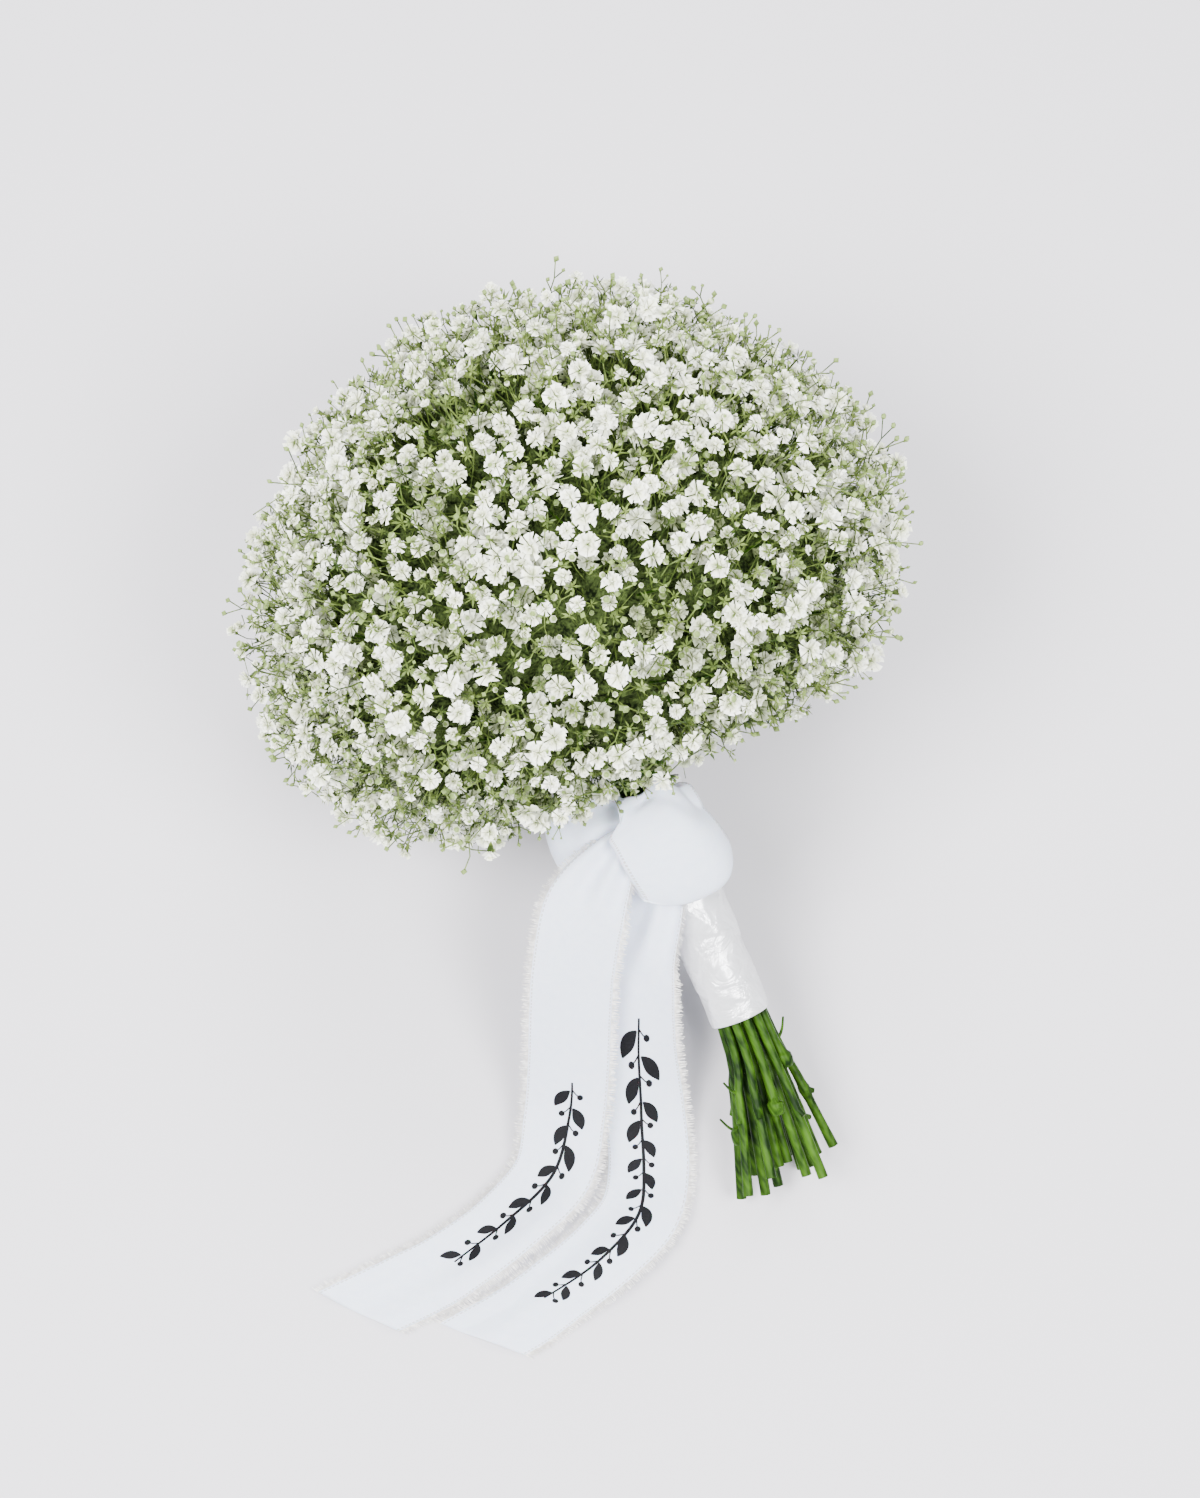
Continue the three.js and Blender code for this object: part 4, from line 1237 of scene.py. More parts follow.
# %% Stem tree
stem_tree, given, result = new_tree(
    "Round section along a stem",
    {"Path": "NodeSocketGeometry", "Sides": "NodeSocketInt", "Finish": "NodeSocketMaterial"}
)
section = add_node(
    stem_tree, "GeometryNodeCurvePrimitiveCircle", {"Resolution": given["Sides"], "Radius": 1.0}
)
thickness = add_node(stem_tree, "GeometryNodeInputRadius")
body = add_node(
    stem_tree, "GeometryNodeCurveToMesh",
    {
        "Curve": given["Path"], "Profile Curve": section.outputs[0], "Scale": thickness.outputs[0],
        "Fill Caps": True,
    },
)
rounded = add_node(stem_tree, "GeometryNodeSetShadeSmooth", {"Geometry": body.outputs[0]})
solid = add_node(stem_tree, "GeometryNodeRealizeInstances", {"Geometry": rounded.outputs[0]})
finished = add_node(
    stem_tree, "GeometryNodeSetMaterial", {"Geometry": solid.outputs[0], "Material": given["Finish"]}
)
stem_tree.links.new(finished.outputs[0], result.inputs[0])
print("nodes in the stem tree", len(stem_tree.nodes))

# %% Nineteen stems
def curve_object(name, courses):
    """A curve with one spline for each course, and the thickness as the radius of its points."""
    data = bpy.data.curves.new(name, "CURVE")
    data.dimensions = "3D"
    for line, radii in courses:
        spline = data.splines.new("POLY")
        spline.points.add(len(line) - 1)
        for point, place, radius in zip(spline.points, laid(line), radii):
            point.co = (*place, 1)
            point.radius = float(radius) * MM
    made = bpy.data.objects.new(name, data)
    bpy.context.scene.collection.objects.link(made)
    return made


total = 0
for number in STEMS:
    course = curve_object(f"course_{number:02d}", stem_course(number))
    stem = run_tree(f"green_stem_{number:02d}", course, stem_tree, {"Sides": 9, "Finish": stem_green})
    bpy.data.objects.remove(course)
    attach(stem, "root")
    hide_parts(f"stem_{number:02d}")
    total += triangles(stem)
print("triangles in all stems", total)

# %% [markdown]
# ## The satin on the handle
#
# A satin band is wound round the stems from the cut end up, each turn lapping over the one below, and the
# lower edge is folded in square. A band swept along a helix would end in a slant, so the wrap is a closed
# sleeve whose radius steps out along a helical line. Small waves pull it into creases, and towards the bow
# two sets of sharp ridges bunch it up. The finer creases are in the material, as bumps.

# %% Satin material
# The long floating threads of satin reflect almost like metal: bright soft streaks beside grey folds. The
# weave is finer than the picture can show, so it is drawn as coarse as a third of a millimetre.
satin, tree, shader = new_material("white_duchess_satin")
place = add_node(tree, "ShaderNodeTexCoord")
along = add_node(
    tree, "ShaderNodeMapping",
    {"Vector": place.outputs["Object"], "Rotation": (-TILT, 0, 0), "Scale": (52, 60, 52)},
)
crease = add_node(
    tree, "ShaderNodeTexNoise", {"Vector": along.outputs[0], "Scale": 1.0, "Detail": 3.0, "Distortion": 1.8}
)
thread = add_node(
    tree, "ShaderNodeMapping",
    {"Vector": place.outputs["Object"], "Rotation": (-TILT, 0, 0), "Scale": (600, 3000, 600)},
)
weave = add_node(tree, "ShaderNodeTexNoise", {"Vector": thread.outputs[0], "Scale": 1.0, "Detail": 1.0})
crease_bump = add_node(
    tree, "ShaderNodeBump", {"Height": crease.outputs["Fac"], "Strength": 0.8, "Distance": 0.003}
)
weave_bump = add_node(
    tree, "ShaderNodeBump",
    {"Height": weave.outputs["Fac"], "Strength": 0.08, "Distance": 0.0001, "Normal": crease_bump.outputs[0]},
)
tree.links.new(weave_bump.outputs[0], shader.inputs["Normal"])
shader.inputs["Base Color"].default_value = linear("#d9dadd")
shader.inputs["Metallic"].default_value = 0.2
shader.inputs["Roughness"].default_value = 0.3
shader.inputs["Specular IOR Level"].default_value = 0.9
shader.inputs["Coat Weight"].default_value = 0.5
shader.inputs["Coat Roughness"].default_value = 0.2
shader.inputs["Sheen Weight"].default_value = 0.15

print("satin nodes", len(tree.nodes))

# %% Satin sleeve
# in mm: the radius inside and outside, how much wider the top is, and the step where a turn laps over
WRAP_INNER, WRAP_OUTER, WRAP_GROWTH, FOLD_STEP = 12.5, 13.2, 1.7, 0.6
WRAP_TURNS = 3.5
# in mm: the room that the sleeve leaves round the binding tape, above this height along the axis
TAPE_BOTTOM, TAPE_ROOM, TAPE_GAP = 168, 1.6, 0.35
WRAP_SIDES, WRAP_ROWS = 110, 160


def satin_sleeve():
    """The sleeve's points in place and its faces: the creased outside, then the plain inside."""
    heights = np.linspace(WRAP_BOTTOM, WRAP_TOP, WRAP_ROWS)
    angles = np.linspace(0, 2 * math.pi, WRAP_SIDES, endpoint=False)
    pitch = (WRAP_TOP - WRAP_BOTTOM) / WRAP_TURNS
    rings = []
    for height in heights:
        share = (height - WRAP_BOTTOM) / (WRAP_TOP - WRAP_BOTTOM)
        lap = ((height - WRAP_BOTTOM) / pitch - angles / (2 * math.pi)) % 1.0
        fall = np.clip(lap / 0.06, 0, 1) * (1 - 0.9 * lap)
        bunched = 0.25 + 0.75 * share**2
        pull = 0.3 * np.sin(2 * angles + 0.13 * height) * np.sin(0.1 * height + angles)
        fine = 0.2 * bunched * np.sin(5 * angles - 0.42 * height + 2 * np.sin(0.11 * height))
        ridge = 1 - np.abs(np.sin(1.5 * angles - 0.07 * height)) ** 0.7
        other = 1 - np.abs(np.sin(2.5 * angles + 0.12 * height + 1.0)) ** 0.7
        crumple = float(smoothstep(share - 0.15, 0.4)) * (1.2 * ridge + 0.8 * other - 0.6)
        rings.append(WRAP_OUTER + WRAP_GROWTH * share + FOLD_STEP * fall + pull + fine + crumple)
    vertices, faces = [], []
    for height, radius in zip(heights, rings):
        vertices += [(r * math.cos(a), height, r * math.sin(a)) for r, a in zip(radius, angles)]
    wide, step = WRAP_INNER + TAPE_ROOM, TAPE_BOTTOM - TAPE_GAP
    outline = [(wide, WRAP_TOP), (wide, step), (WRAP_INNER, step), (WRAP_INNER, WRAP_BOTTOM)]
    for radius, height in outline:
        vertices += [(radius * math.cos(a), height, radius * math.sin(a)) for a in angles]
    rows = WRAP_ROWS + len(outline)
    for r in range(rows):
        for i in range(WRAP_SIDES):
            j = (i + 1) % WRAP_SIDES
            s = (r + 1) % rows
            faces.append((r * WRAP_SIDES + i, s * WRAP_SIDES + i, s * WRAP_SIDES + j, r * WRAP_SIDES + j))
    return laid(vertices), faces


vertices, faces = satin_sleeve()
sleeve = new_object("satin_sleeve", vertices, faces, satin)
tidy_mesh(sleeve)
sleeve.data.shade_smooth()
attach(sleeve, "root")
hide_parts("satin_wrap")
print("triangles in the sleeve", triangles(sleeve))

# %% [markdown]
# ## Chiffon
#
# The ribbon is a fine white chiffon, matte and a little see-through, faintly blue in its shade. Its plain
# weave of crisp threads is finer than the picture can show, so the thread pattern here is drawn three times
# as coarse as the real one, and that gives the cloth its dry, grainy look. Close to each long edge, where
# the weave stops and the fringe begins, a dashed line shows the bundles that the loose threads part into,
# about two millimetres apart. The pattern follows the cloth through its own UV map, in metres.

# %% Chiffon material
# Chiffon scatters light in all directions, so it is flat and matt, whiter where it lies double.
# All sizes are in metres across the cloth (u) or along it (v), apart from the thread pitch in mm.
CLOTH_MIDDLE, DASHES_OUT, DASHES_HALF_WIDTH, BUNDLE_PITCH = 0.021, 0.02, 0.00032, 0.0019
DASH_CUT, DASH_STRENGTH = -0.35, 0.75
THREAD_PITCH = 0.6
chiffon, tree, shader = new_material("sheer_white_chiffon")
cloth = add_node(tree, "ShaderNodeUVMap", uv_map="cloth")
split = add_node(tree, "ShaderNodeSeparateXYZ", {0: cloth.outputs[0]})
waves = []
for axis in (0, 1):
    wave = add_node(
        tree, "ShaderNodeMath", {0: split.outputs[axis], 1: 2 * math.pi * 1000 / THREAD_PITCH},
        operation="MULTIPLY"
    )
    waves.append(add_node(tree, "ShaderNodeMath", {0: wave.outputs[0]}, operation="SINE"))
weave = add_node(tree, "ShaderNodeMath", {0: waves[0].outputs[0], 1: waves[1].outputs[0]}, operation="ADD")
slub = add_node(tree, "ShaderNodeTexNoise", {"Vector": cloth.outputs[0], "Scale": 240.0, "Detail": 3.0})
height = add_node(
    tree, "ShaderNodeMath", {0: slub.outputs["Fac"], 1: 1.4, 2: weave.outputs[0]}, operation="MULTIPLY_ADD"
)
bump = add_node(tree, "ShaderNodeBump", {"Height": height.outputs[0], "Strength": 0.12, "Distance": 0.0002})
tree.links.new(bump.outputs[0], shader.inputs["Normal"])
tone = add_node(tree, "ShaderNodeValToRGB", {"Fac": slub.outputs["Fac"]})
tone.color_ramp.elements[0].color, tone.color_ramp.elements[1].color = linear("#d9e1f4"), linear("#eaf0fe")
middle = add_node(tree, "ShaderNodeMath", {0: split.outputs[0], 1: CLOTH_MIDDLE}, operation="SUBTRACT")
middle = add_node(tree, "ShaderNodeMath", {0: middle.outputs[0]}, operation="ABSOLUTE")
drawn = add_node(
    tree, "ShaderNodeMath", {0: middle.outputs[0], 1: DASHES_OUT, 2: DASHES_HALF_WIDTH}, operation="COMPARE"
)
bundles = add_node(
    tree, "ShaderNodeMath", {0: split.outputs[1], 1: 2 * math.pi / BUNDLE_PITCH}, operation="MULTIPLY"
)
bundles = add_node(tree, "ShaderNodeMath", {0: bundles.outputs[0]}, operation="SINE")
bundles = add_node(tree, "ShaderNodeMath", {0: bundles.outputs[0], 1: DASH_CUT}, operation="GREATER_THAN")
dashes = add_node(tree, "ShaderNodeMath", {0: drawn.outputs[0], 1: bundles.outputs[0]}, operation="MULTIPLY")
dashes = add_node(tree, "ShaderNodeMath", {0: dashes.outputs[0], 1: DASH_STRENGTH}, operation="MULTIPLY")
dashed = add_node(
    tree, "ShaderNodeMix", {0: dashes.outputs[0], 6: tone.outputs["Color"], 7: linear("#aeabab")},
    data_type="RGBA",
)
tree.links.new(dashed.outputs[2], shader.inputs["Base Color"])
shader.inputs["Roughness"].default_value = 0.75
shader.inputs["Sheen Weight"].default_value = 0.25
shader.inputs["Subsurface Weight"].default_value = 0.15
shader.inputs["Subsurface Scale"].default_value = 0.001
shader.inputs["Alpha"].default_value = 0.93
print("chiffon nodes", len(tree.nodes))

# %% [markdown]
# ## Ribbon shapes
#
# Every stretch of ribbon is a sheet along a line: narrow and pleated where the knot gathers it, and flat at
# its full width further out. The pleats take up the width that the knot takes away, as far as their
# greatest depth lets them, so that the cloth nearly keeps its size. The lines are those of the model's
# solids.

# %% Widths and pleats
# how many pleats and, in mm, the depth they may have, the ribbon's full width and its width in the knot
PLEATS, DEEPEST = 2, 1.8
RIBBON_WIDTH, KNOT_WIDTH = 42, 15
# the strips across a sheet, and the knot's middle in mm along the axis
ACROSS = 40
KNOT = np.array([-7, 176, 18.5])


def unit(vectors):
    """The same directions, each with a length of 1."""
    return vectors / np.linalg.norm(vectors, axis=-1, keepdims=True)


def pleat_depth(width, pleats, full):
    """How deep a sine of this many pleats must be for the full cloth to fit into a width."""
    u = np.linspace(0, 1, 200)
    low, high = 0.0, 8.0
    for _ in range(30):
        middle = (low + high) / 2
        wave = middle * np.sin(2 * math.pi * pleats * u)
        length = np.sum(np.hypot(np.diff(u) * width, np.diff(wave)))
        low, high = (middle, high) if length < full else (low, middle)
    return (low + high) / 2


enough = pleat_depth(KNOT_WIDTH, PLEATS, RIBBON_WIDTH)
print("pleats that take up all the cloth are", round(enough, 1), "mm deep, the limit is", DEEPEST)

# %% A sheet along a line
def ribbon_sheet(
    line, sides, widths, shape, away_from, fan_from=None, slants=None, full=RIBBON_WIDTH,
    rounding=0, left_arc=1, reach_out=(1, 1),
):
    """A sheet along a line, in mm. shape(u, v) says how far it stands off at a place of it, away from a
    point. With fan_from, each row is an arc round that point, as where a bow loop spreads from its knot:
    rounding takes its corners in, left_arc says how much of the arc the left side keeps, and reach_out how
    far the left and the right side reach, as shares. With slants, the left edge of a row runs ahead of its
    right edge."""
    tangents = unit(np.gradient(line, axis=0))
    sides = unit(sides - tangents * np.sum(sides * tangents, axis=1, keepdims=True))
    normals = np.cross(tangents, sides)
    normals *= np.where(np.mean(np.sum(normals * (line - away_from), axis=1)) < 0, -1, 1)
    length = np.concatenate([[0], np.cumsum(np.linalg.norm(np.diff(line, axis=0), axis=1))])
    vertices, faces, cloth = [], [], []
    for k in range(len(line)):
        gathered = (slants is None or k < len(line) / 2) and widths[k] < full - 0.5
        depth = min(pleat_depth(widths[k], PLEATS, full), DEEPEST) if gathered else 0
        for i in range(ACROSS + 1):
            u = i / ACROSS
            x = (u - 0.5) * widths[k] * reach_out[int(u > 0.5)]
            off = depth * math.sin(2 * math.pi * PLEATS * u) + shape(u, k / (len(line) - 1))
            point = line[k] + sides[k] * x + normals[k] * off
            if slants is not None:
                point = point + tangents[k] * slants[k] * (2.5 * (u - u * u) - x)
            if fan_from is not None:
                way = line[k] - fan_from
                reach = np.linalg.norm(way)
                spread = reach - math.sqrt(reach**2 - min(x**2, 0.6 * reach**2))
                spread *= left_arc if x < 0 else 1
                corner = rounding * abs(2 * u - 1) ** 4 * float(smoothstep(reach, 40))
                point = point - way / reach * (spread + corner)
            vertices.append(point)
            cloth.append((u * RIBBON_WIDTH * MM, length[k] * MM))
    for k in range(len(line) - 1):
        for i in range(ACROSS):
            a = k * (ACROSS + 1) + i
            faces.append((a, a + 1, a + ACROSS + 2, a + ACROSS + 1))
    return np.array(vertices), faces, cloth, length[-1]


print("a sheet has", ACROSS, "strips across, each", RIBBON_WIDTH / ACROSS, "mm wide")

# %% Finished cloth
# in metres
CLOTH_THICKNESS = 0.00025


def finish_sheet(name, vertices, faces, cloth, node, lie=None):
    """The cloth as an object in place, thickened a little, with its UV map in metres. It never goes lower
    than lie, if that is given."""
    if lie is not None:
        vertices[:, 2] = np.maximum(vertices[:, 2], lie)
    piece = new_object(name, vertices, faces, chiffon)
    layer = piece.data.uv_layers.new(name="cloth")
    for loop in piece.data.loops:
        layer.data[loop.index].uv = cloth[loop.vertex_index]
    piece.data.shade_smooth()
    thick = piece.modifiers.new("cloth_thickness", "SOLIDIFY")
    thick.thickness, thick.offset = CLOTH_THICKNESS, 0
    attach(piece, "root")
    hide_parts(node)
    return piece


print("the cloth is", CLOTH_THICKNESS * 1000, "mm thick")

# %% [markdown]
# ## The two loops of the bow
#
# Each loop leaves the knot, swings out, turns round and comes back, and it spreads like a fan on its way.
# The front loop hangs down over the handle and the side loop goes round to the left. Their points are
# chosen along the photo's loops, in mm along the handle's axis.

# %% Bow loops
# the narrowest width of a loop as a share of the knot's, and the share of its length over which it widens
LOOP_PINCH, LOOP_SPREAD = 0.8, 0.22


def loop_widths(steps, full):
    """The width at each step: narrow at both ends, in the knot, and full in between."""
    near = np.minimum(np.linspace(0, 1, steps), np.linspace(1, 0, steps))
    pinched = KNOT_WIDTH * LOOP_PINCH
    return pinched + (full - pinched) * smoothstep(near, LOOP_SPREAD)


FRONT_MARKS = [
    (-5, 181, 23), (-3, 189, 28), (0, 179, 34), (2, 162, 35.5), (4.5, 147, 33), (5.5, 139.5, 28),
    (4, 147, 22.5), (1, 160, 22), (-3, 172, 22),
]
SIDE_MARKS = [
    (-9, 178, 19), (-28, 177, 16), (-44, 171, 3), (-47, 169, -7), (-42, 169, -11), (-30, 173, -3),
    (-18, 177, 12), (-13, 177, 16),
]


def bow_loop(name, marks, side, node, opened, puff, **shape):
    """A loop of cloth along its marks, opened to a width and blown up by a puff."""
    line = smooth_path(marks, 10)
    widths = loop_widths(len(line), opened)
    sides = np.tile(np.array(side, float), (len(line), 1))
    vertices, faces, cloth, length = ribbon_sheet(
        line, sides, widths, puff, away_from=line.mean(axis=0), fan_from=KNOT, **shape
    )
    piece = finish_sheet(name, laid(vertices), faces, cloth, node)
    print(name, "is", round(length), "mm long")
    return piece


# %% [markdown]
# ## The knot and the band round the neck
#
# The ribbon goes once round the neck and is tied at the upper left. Most of it is hidden by the front loop.
# The knot is a small ball of cloth with pleats that run over it from side to side.

# %% Knot
# in mm: half the knot's size to the side, along the axis and away from it
KNOT_HALF = np.array([8, 7.5, 5])
# how deep its folds are, as a share of its size
KNOT_FOLD = 0.07


def knot_ball():
    """A ball with folds, from one side to the other."""
    vertices, faces = [], []
    rows, columns = 28, 56
    for r in range(rows + 1):
        polar = math.pi * r / rows
        for c in range(columns):
            turn = 2 * math.pi * c / columns
            fold = 1 + KNOT_FOLD * math.sin(10 * polar + 2 * math.sin(turn)) * math.sin(polar)
            ball = (math.cos(polar), math.sin(polar) * math.cos(turn), math.sin(polar) * math.sin(turn))
            vertices.append(KNOT + KNOT_HALF * ball * fold)
    for r in range(rows):
        for c in range(columns):
            d = (c + 1) % columns
            faces.append((r * columns + c, r * columns + d, (r + 1) * columns + d, (r + 1) * columns + c))
    return vertices, faces


ball_vertices, ball_faces = knot_ball()
print("points on the knot", len(ball_vertices))

# %% Band round the neck
# in mm: the band's edges along the axis, its inner radius, its thickness and how deep its folds are
BAND_BOTTOM, BAND_TOP, BAND_INNER, BAND_THICKNESS, BAND_FOLD = 170, 182, 15.9, 0.7, 0.35


def neck_band():
    """A folded band round the wrap, closed by a plain inside."""
    vertices, faces = [], []
    angles = np.linspace(0, 2 * math.pi, 96, endpoint=False)
    heights = np.linspace(BAND_BOTTOM, BAND_TOP, 25)
    for height in heights:
        fold = BAND_FOLD * np.sin((height - BAND_BOTTOM) * 2.1 + 1.2 * np.sin(2 * angles))
        radii = BAND_INNER + BAND_THICKNESS + fold
        vertices += [(radius * math.cos(a), height, radius * math.sin(a)) for radius, a in zip(radii, angles)]
    for height in (BAND_TOP, BAND_BOTTOM):
        vertices += [(BAND_INNER * math.cos(a), height, BAND_INNER * math.sin(a)) for a in angles]
    n, rows = len(angles), len(heights) + 2
    for r in range(rows):
        s = (r + 1) % rows
        for i in range(n):
            j = (i + 1) % n
            faces.append((r * n + i, s * n + i, s * n + j, r * n + j))
    return vertices, faces


band_vertices, band_faces = neck_band()
first = len(ball_vertices)
knot_faces = ball_faces + [tuple(first + i for i in face) for face in band_faces]
knot = new_object("ribbon_knot", laid(np.array(ball_vertices + band_vertices)), knot_faces, chiffon)
knot.data.uv_layers.new(name="cloth")
for loop in knot.data.loops:
    place = knot.data.vertices[loop.vertex_index].co
    knot.data.uv_layers["cloth"].data[loop.index].uv = (place.x, place.y)
tidy_mesh(knot)
knot.data.shade_smooth()
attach(knot, "root")
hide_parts("ribbon_tie")
print("triangles in the knot and its band", triangles(knot))

# %% [markdown]
# ## Cloth that is blown up
#
# A loop of stiff, light cloth stands off its course like a small sail. A puff says how far, from the place
# across the ribbon (u) and along it (v), both from 0 to 1, and it fades out towards the knot at both ends.

# %% Front and side loop
def front_puff(u, v):
    """The front loop is blown up in the middle, with a soft crease that runs down from the knot."""
    crease = -1.3 * math.exp(-(((u - 0.3 - 2.6 * (v - 0.12)) / 0.11) ** 2)) if v < 0.45 else 0
    swell = 4.0 * math.sin(math.pi * u) - 1.5 + 0.4 * math.sin(5 * u + 6 * v) + crease
    return swell * float(smoothstep(min(v, 1 - v), 0.2))


def side_puff(u, v):
    """The side loop swells less, with one soft wave across it."""
    swell = 2.0 * math.sin(math.pi * u) - 0.8 + 0.6 * math.sin(4 * u + 5 * v)
    return swell * float(smoothstep(min(v, 1 - v), 0.2))


bow_loop(
    "front_bow_loop", FRONT_MARKS, (0.98, 0.15, 0), "bow_loop_front", 42.5, front_puff,
    rounding=7, left_arc=0.25, reach_out=(1.24, 0.92),
)
bow_loop("side_bow_loop", SIDE_MARKS, (-0.2, 1, 0), "bow_loop_side", RIBBON_WIDTH, side_puff)

# %% [markdown]
# ## The tails
#
# Both tails fall from the knot past the left of the handle, the outer one over the edge of the inner one,
# and run over the table in a long curve. Cloth this light never lies quite flat: soft waves run along it and
# across it, and they draw its end in a little. The ends are cut on a slant. The woven part is 36 mm wide and
# the frayed edges add 3 mm on each side.

# %% Courses of the tails
# The courses are in mm on the table, from under the cut ends' middle: x, y, height, and how the cloth banks.
ORIGIN = ends_middle - np.array([0, 0, ENDS_HEIGHT]) * MM
OUTER_MARKS = [
    (-12, 152, 109, 0), (-28.1, 144, 106, 0), (-47.3, 131.2, 95, -0.05), (-60.4, 115.1, 74, -0.05),
    (-68.4, 101.6, 55, 0), (-76.4, 86.5, 34, 0), (-86, 70.5, 16, 0.05), (-101.5, 50, 7, 0.2),
    (-129.5, 38, 7, 0.28), (-156.5, 33.2, 3.6, 0.12), (-178.4, 32.6, 0.5, 0), (-203.5, 32.2, 0.5, 0),
]
INNER_MARKS = [
    (-5, 150, 104, 0.2), (-9, 139, 97, 0.3), (-18, 124.5, 85.5, 0.3), (-35, 105.5, 65, 0.3),
    (-45.6, 83, 35, 0.2), (-52.4, 58.4, 11, 0.05), (-60.3, 36.8, 2.5, 0.05), (-73.5, 19, 4, 0.15),
    (-96, 9.2, 5, 0.2), (-119, 4, 2.5, 0.08), (-139, 0.4, 0.5, 0), (-159, -1.7, 0.5, 0),
]
# steps between two marks, the width in the knot as a share of the knot's, and that of the end as a share
TAIL_STEPS, TAIL_PINCH, DRAWN_IN = 12, 0.7, 0.86
# how slanted the cut end is, and the share of the length over which the weave turns to that slant
END_SLANT, SLANT_SHARE = 0.8, 0.3
# in mm: the frayed edge, and the lowest that the middle line and the cloth may lie
FRINGE_WIDTH, LOWEST_LINE, LOWEST_CLOTH = 3.0, 0.5, 0.3
WOVEN_WIDTH = RIBBON_WIDTH - 2 * FRINGE_WIDTH


def tail_course(marks, opening):
    """The middle line of a tail, the way across it, its woven width and its slant, in mm on the table."""
    marks = np.asarray(marks, float)
    line = smooth_path(marks[:, :3], TAIL_STEPS)
    banks = smooth_path(marks[:, 3:], TAIL_STEPS)[:, 0]
    along = np.gradient(line, axis=0)
    sides = unit(np.stack([-along[:, 1], along[:, 0], np.zeros(len(line))], axis=1))
    sides[:, 2] = banks
    share = np.linspace(0, 1, len(line))
    pinched = KNOT_WIDTH * TAIL_PINCH
    widths = pinched + (WOVEN_WIDTH - pinched) * smoothstep(share, opening)
    widths = widths * (1 - (1 - DRAWN_IN) * smoothstep(share - 0.6, 0.25))
    return line, sides, widths, END_SLANT * smoothstep(share - 1 + SLANT_SHARE, SLANT_SHARE)


print("the woven part is", WOVEN_WIDTH, "mm wide")

# %% Tails
def tail(name, marks, opening, node, waves):
    """A tail, with the grid of its points, which the fringe and the print follow, and its length."""
    line, sides, widths, slants = tail_course(marks, opening)
    line[:, 2] = np.maximum(line[:, 2], LOWEST_LINE)
    underneath = line.mean(axis=0) - (0, 0, 200)
    vertices, faces, cloth, length = ribbon_sheet(
        line, sides, widths, waves, away_from=underneath, slants=slants, full=WOVEN_WIDTH
    )
    placed = vertices * MM + ORIGIN
    piece = finish_sheet(name, placed, faces, cloth, node, lie=LOWEST_CLOTH * MM)
    return piece, placed.reshape(len(line), ACROSS + 1, 3), length


def waves_of(phase):
    """How far a tail stands off its course: a long soft fold along the end, and ripples across it."""

    def waves(u, v):
        hanging = float(smoothstep(v - 0.12, 0.2))
        lying = float(smoothstep(v - 0.5, 0.2))
        fold = 1.5 * math.sin(2 * math.pi * (1.2 * u + 0.25) + phase)
        ripple = 0.6 * math.sin(16 * v + 2.4 * u + phase)
        flutter = 0.4 * math.cos(2 * math.pi * u) * math.sin(11 * v + phase)
        sway = 0.5 * math.sin(4 * u + 9 * v + phase)
        return lying * (1.2 + fold + (ripple + flutter)) + (hanging - lying) * sway

    return waves


outer_tail, outer_grid, outer_length = tail(
    "outer_ribbon_tail", OUTER_MARKS, 0.2, "ribbon_tail_outer", waves_of(0.0)
)
inner_tail, inner_grid, inner_length = tail(
    "inner_ribbon_tail", INNER_MARKS, 0.3, "ribbon_tail_inner", waves_of(2.0)
)
print("tails, in mm", round(outer_length), round(inner_length))

# %% [markdown]
# ## Frayed edges
#
# The ribbon's long edges are torn, not hemmed, so the threads that run across it stand free for about three
# millimetres there. A tree walks along each edge and sets a thread every half millimetre, each with its own
# length and slant. The threads are drawn several times as coarse as real ones, which would be too fine to
# show. They are made for the two tails, where the edges lie open.

# %% Loose thread material
# Undyed spun yarn is matt and a little greyer and warmer than the cloth, so the fringe stands out from it.
loose_yarn, tree, shader = new_material("loose_chiffon_yarn")
place = add_node(tree, "ShaderNodeTexCoord")
strand = add_node(
    tree, "ShaderNodeTexNoise", {"Vector": place.outputs["Object"], "Scale": 500.0, "Detail": 2.0}
)
tone = add_node(tree, "ShaderNodeValToRGB", {"Fac": strand.outputs["Fac"]})
tone.color_ramp.elements[0].color, tone.color_ramp.elements[1].color = linear("#c2beb8"), linear("#efedea")
tone.color_ramp.elements[0].position, tone.color_ramp.elements[1].position = 0.35, 0.65
tree.links.new(tone.outputs["Color"], shader.inputs["Base Color"])
shader.inputs["Roughness"].default_value = 0.8
shader.inputs["Sheen Weight"].default_value = 0.2
print("yarn nodes", len(tree.nodes))

# %% Tree for the threads along an edge
# The threads keep clear of the table by this height, in metres, and their lengths vary between two shares.
LOWEST_THREAD = 0.0002
SHORT_THREAD, LONG_THREAD = 0.55, 1.06
fringe_tree, given, result = new_tree(
    "Loose threads along edges",
    {"Edges": "NodeSocketGeometry", "Thread": "NodeSocketObject", "Thread spacing": FLOAT, "Slant": FLOAT,
     "Seed": "NodeSocketInt", "Finish": "NodeSocketMaterial"},
)
lines = add_node(fringe_tree, "GeometryNodeMeshToCurve", {"Mesh": given["Edges"]})
spots = add_node(
    fringe_tree, "GeometryNodeResampleCurve", {"Curve": lines.outputs[0], "Length": given["Thread spacing"]},
    mode="LENGTH",
)
away = add_node(fringe_tree, "GeometryNodeInputNamedAttribute", {"Name": "away"}, data_type="FLOAT_VECTOR")
wild = add_node(
    fringe_tree, "FunctionNodeRandomValue",
    {"Min": (-1, -1, -0.2), "Max": (1, 1, 0.5), "Seed": given["Seed"]},
    data_type="FLOAT_VECTOR",
)
wild = add_node(
    fringe_tree, "ShaderNodeVectorMath", {0: wild.outputs[0], "Scale": given["Slant"]}, operation="SCALE"
)
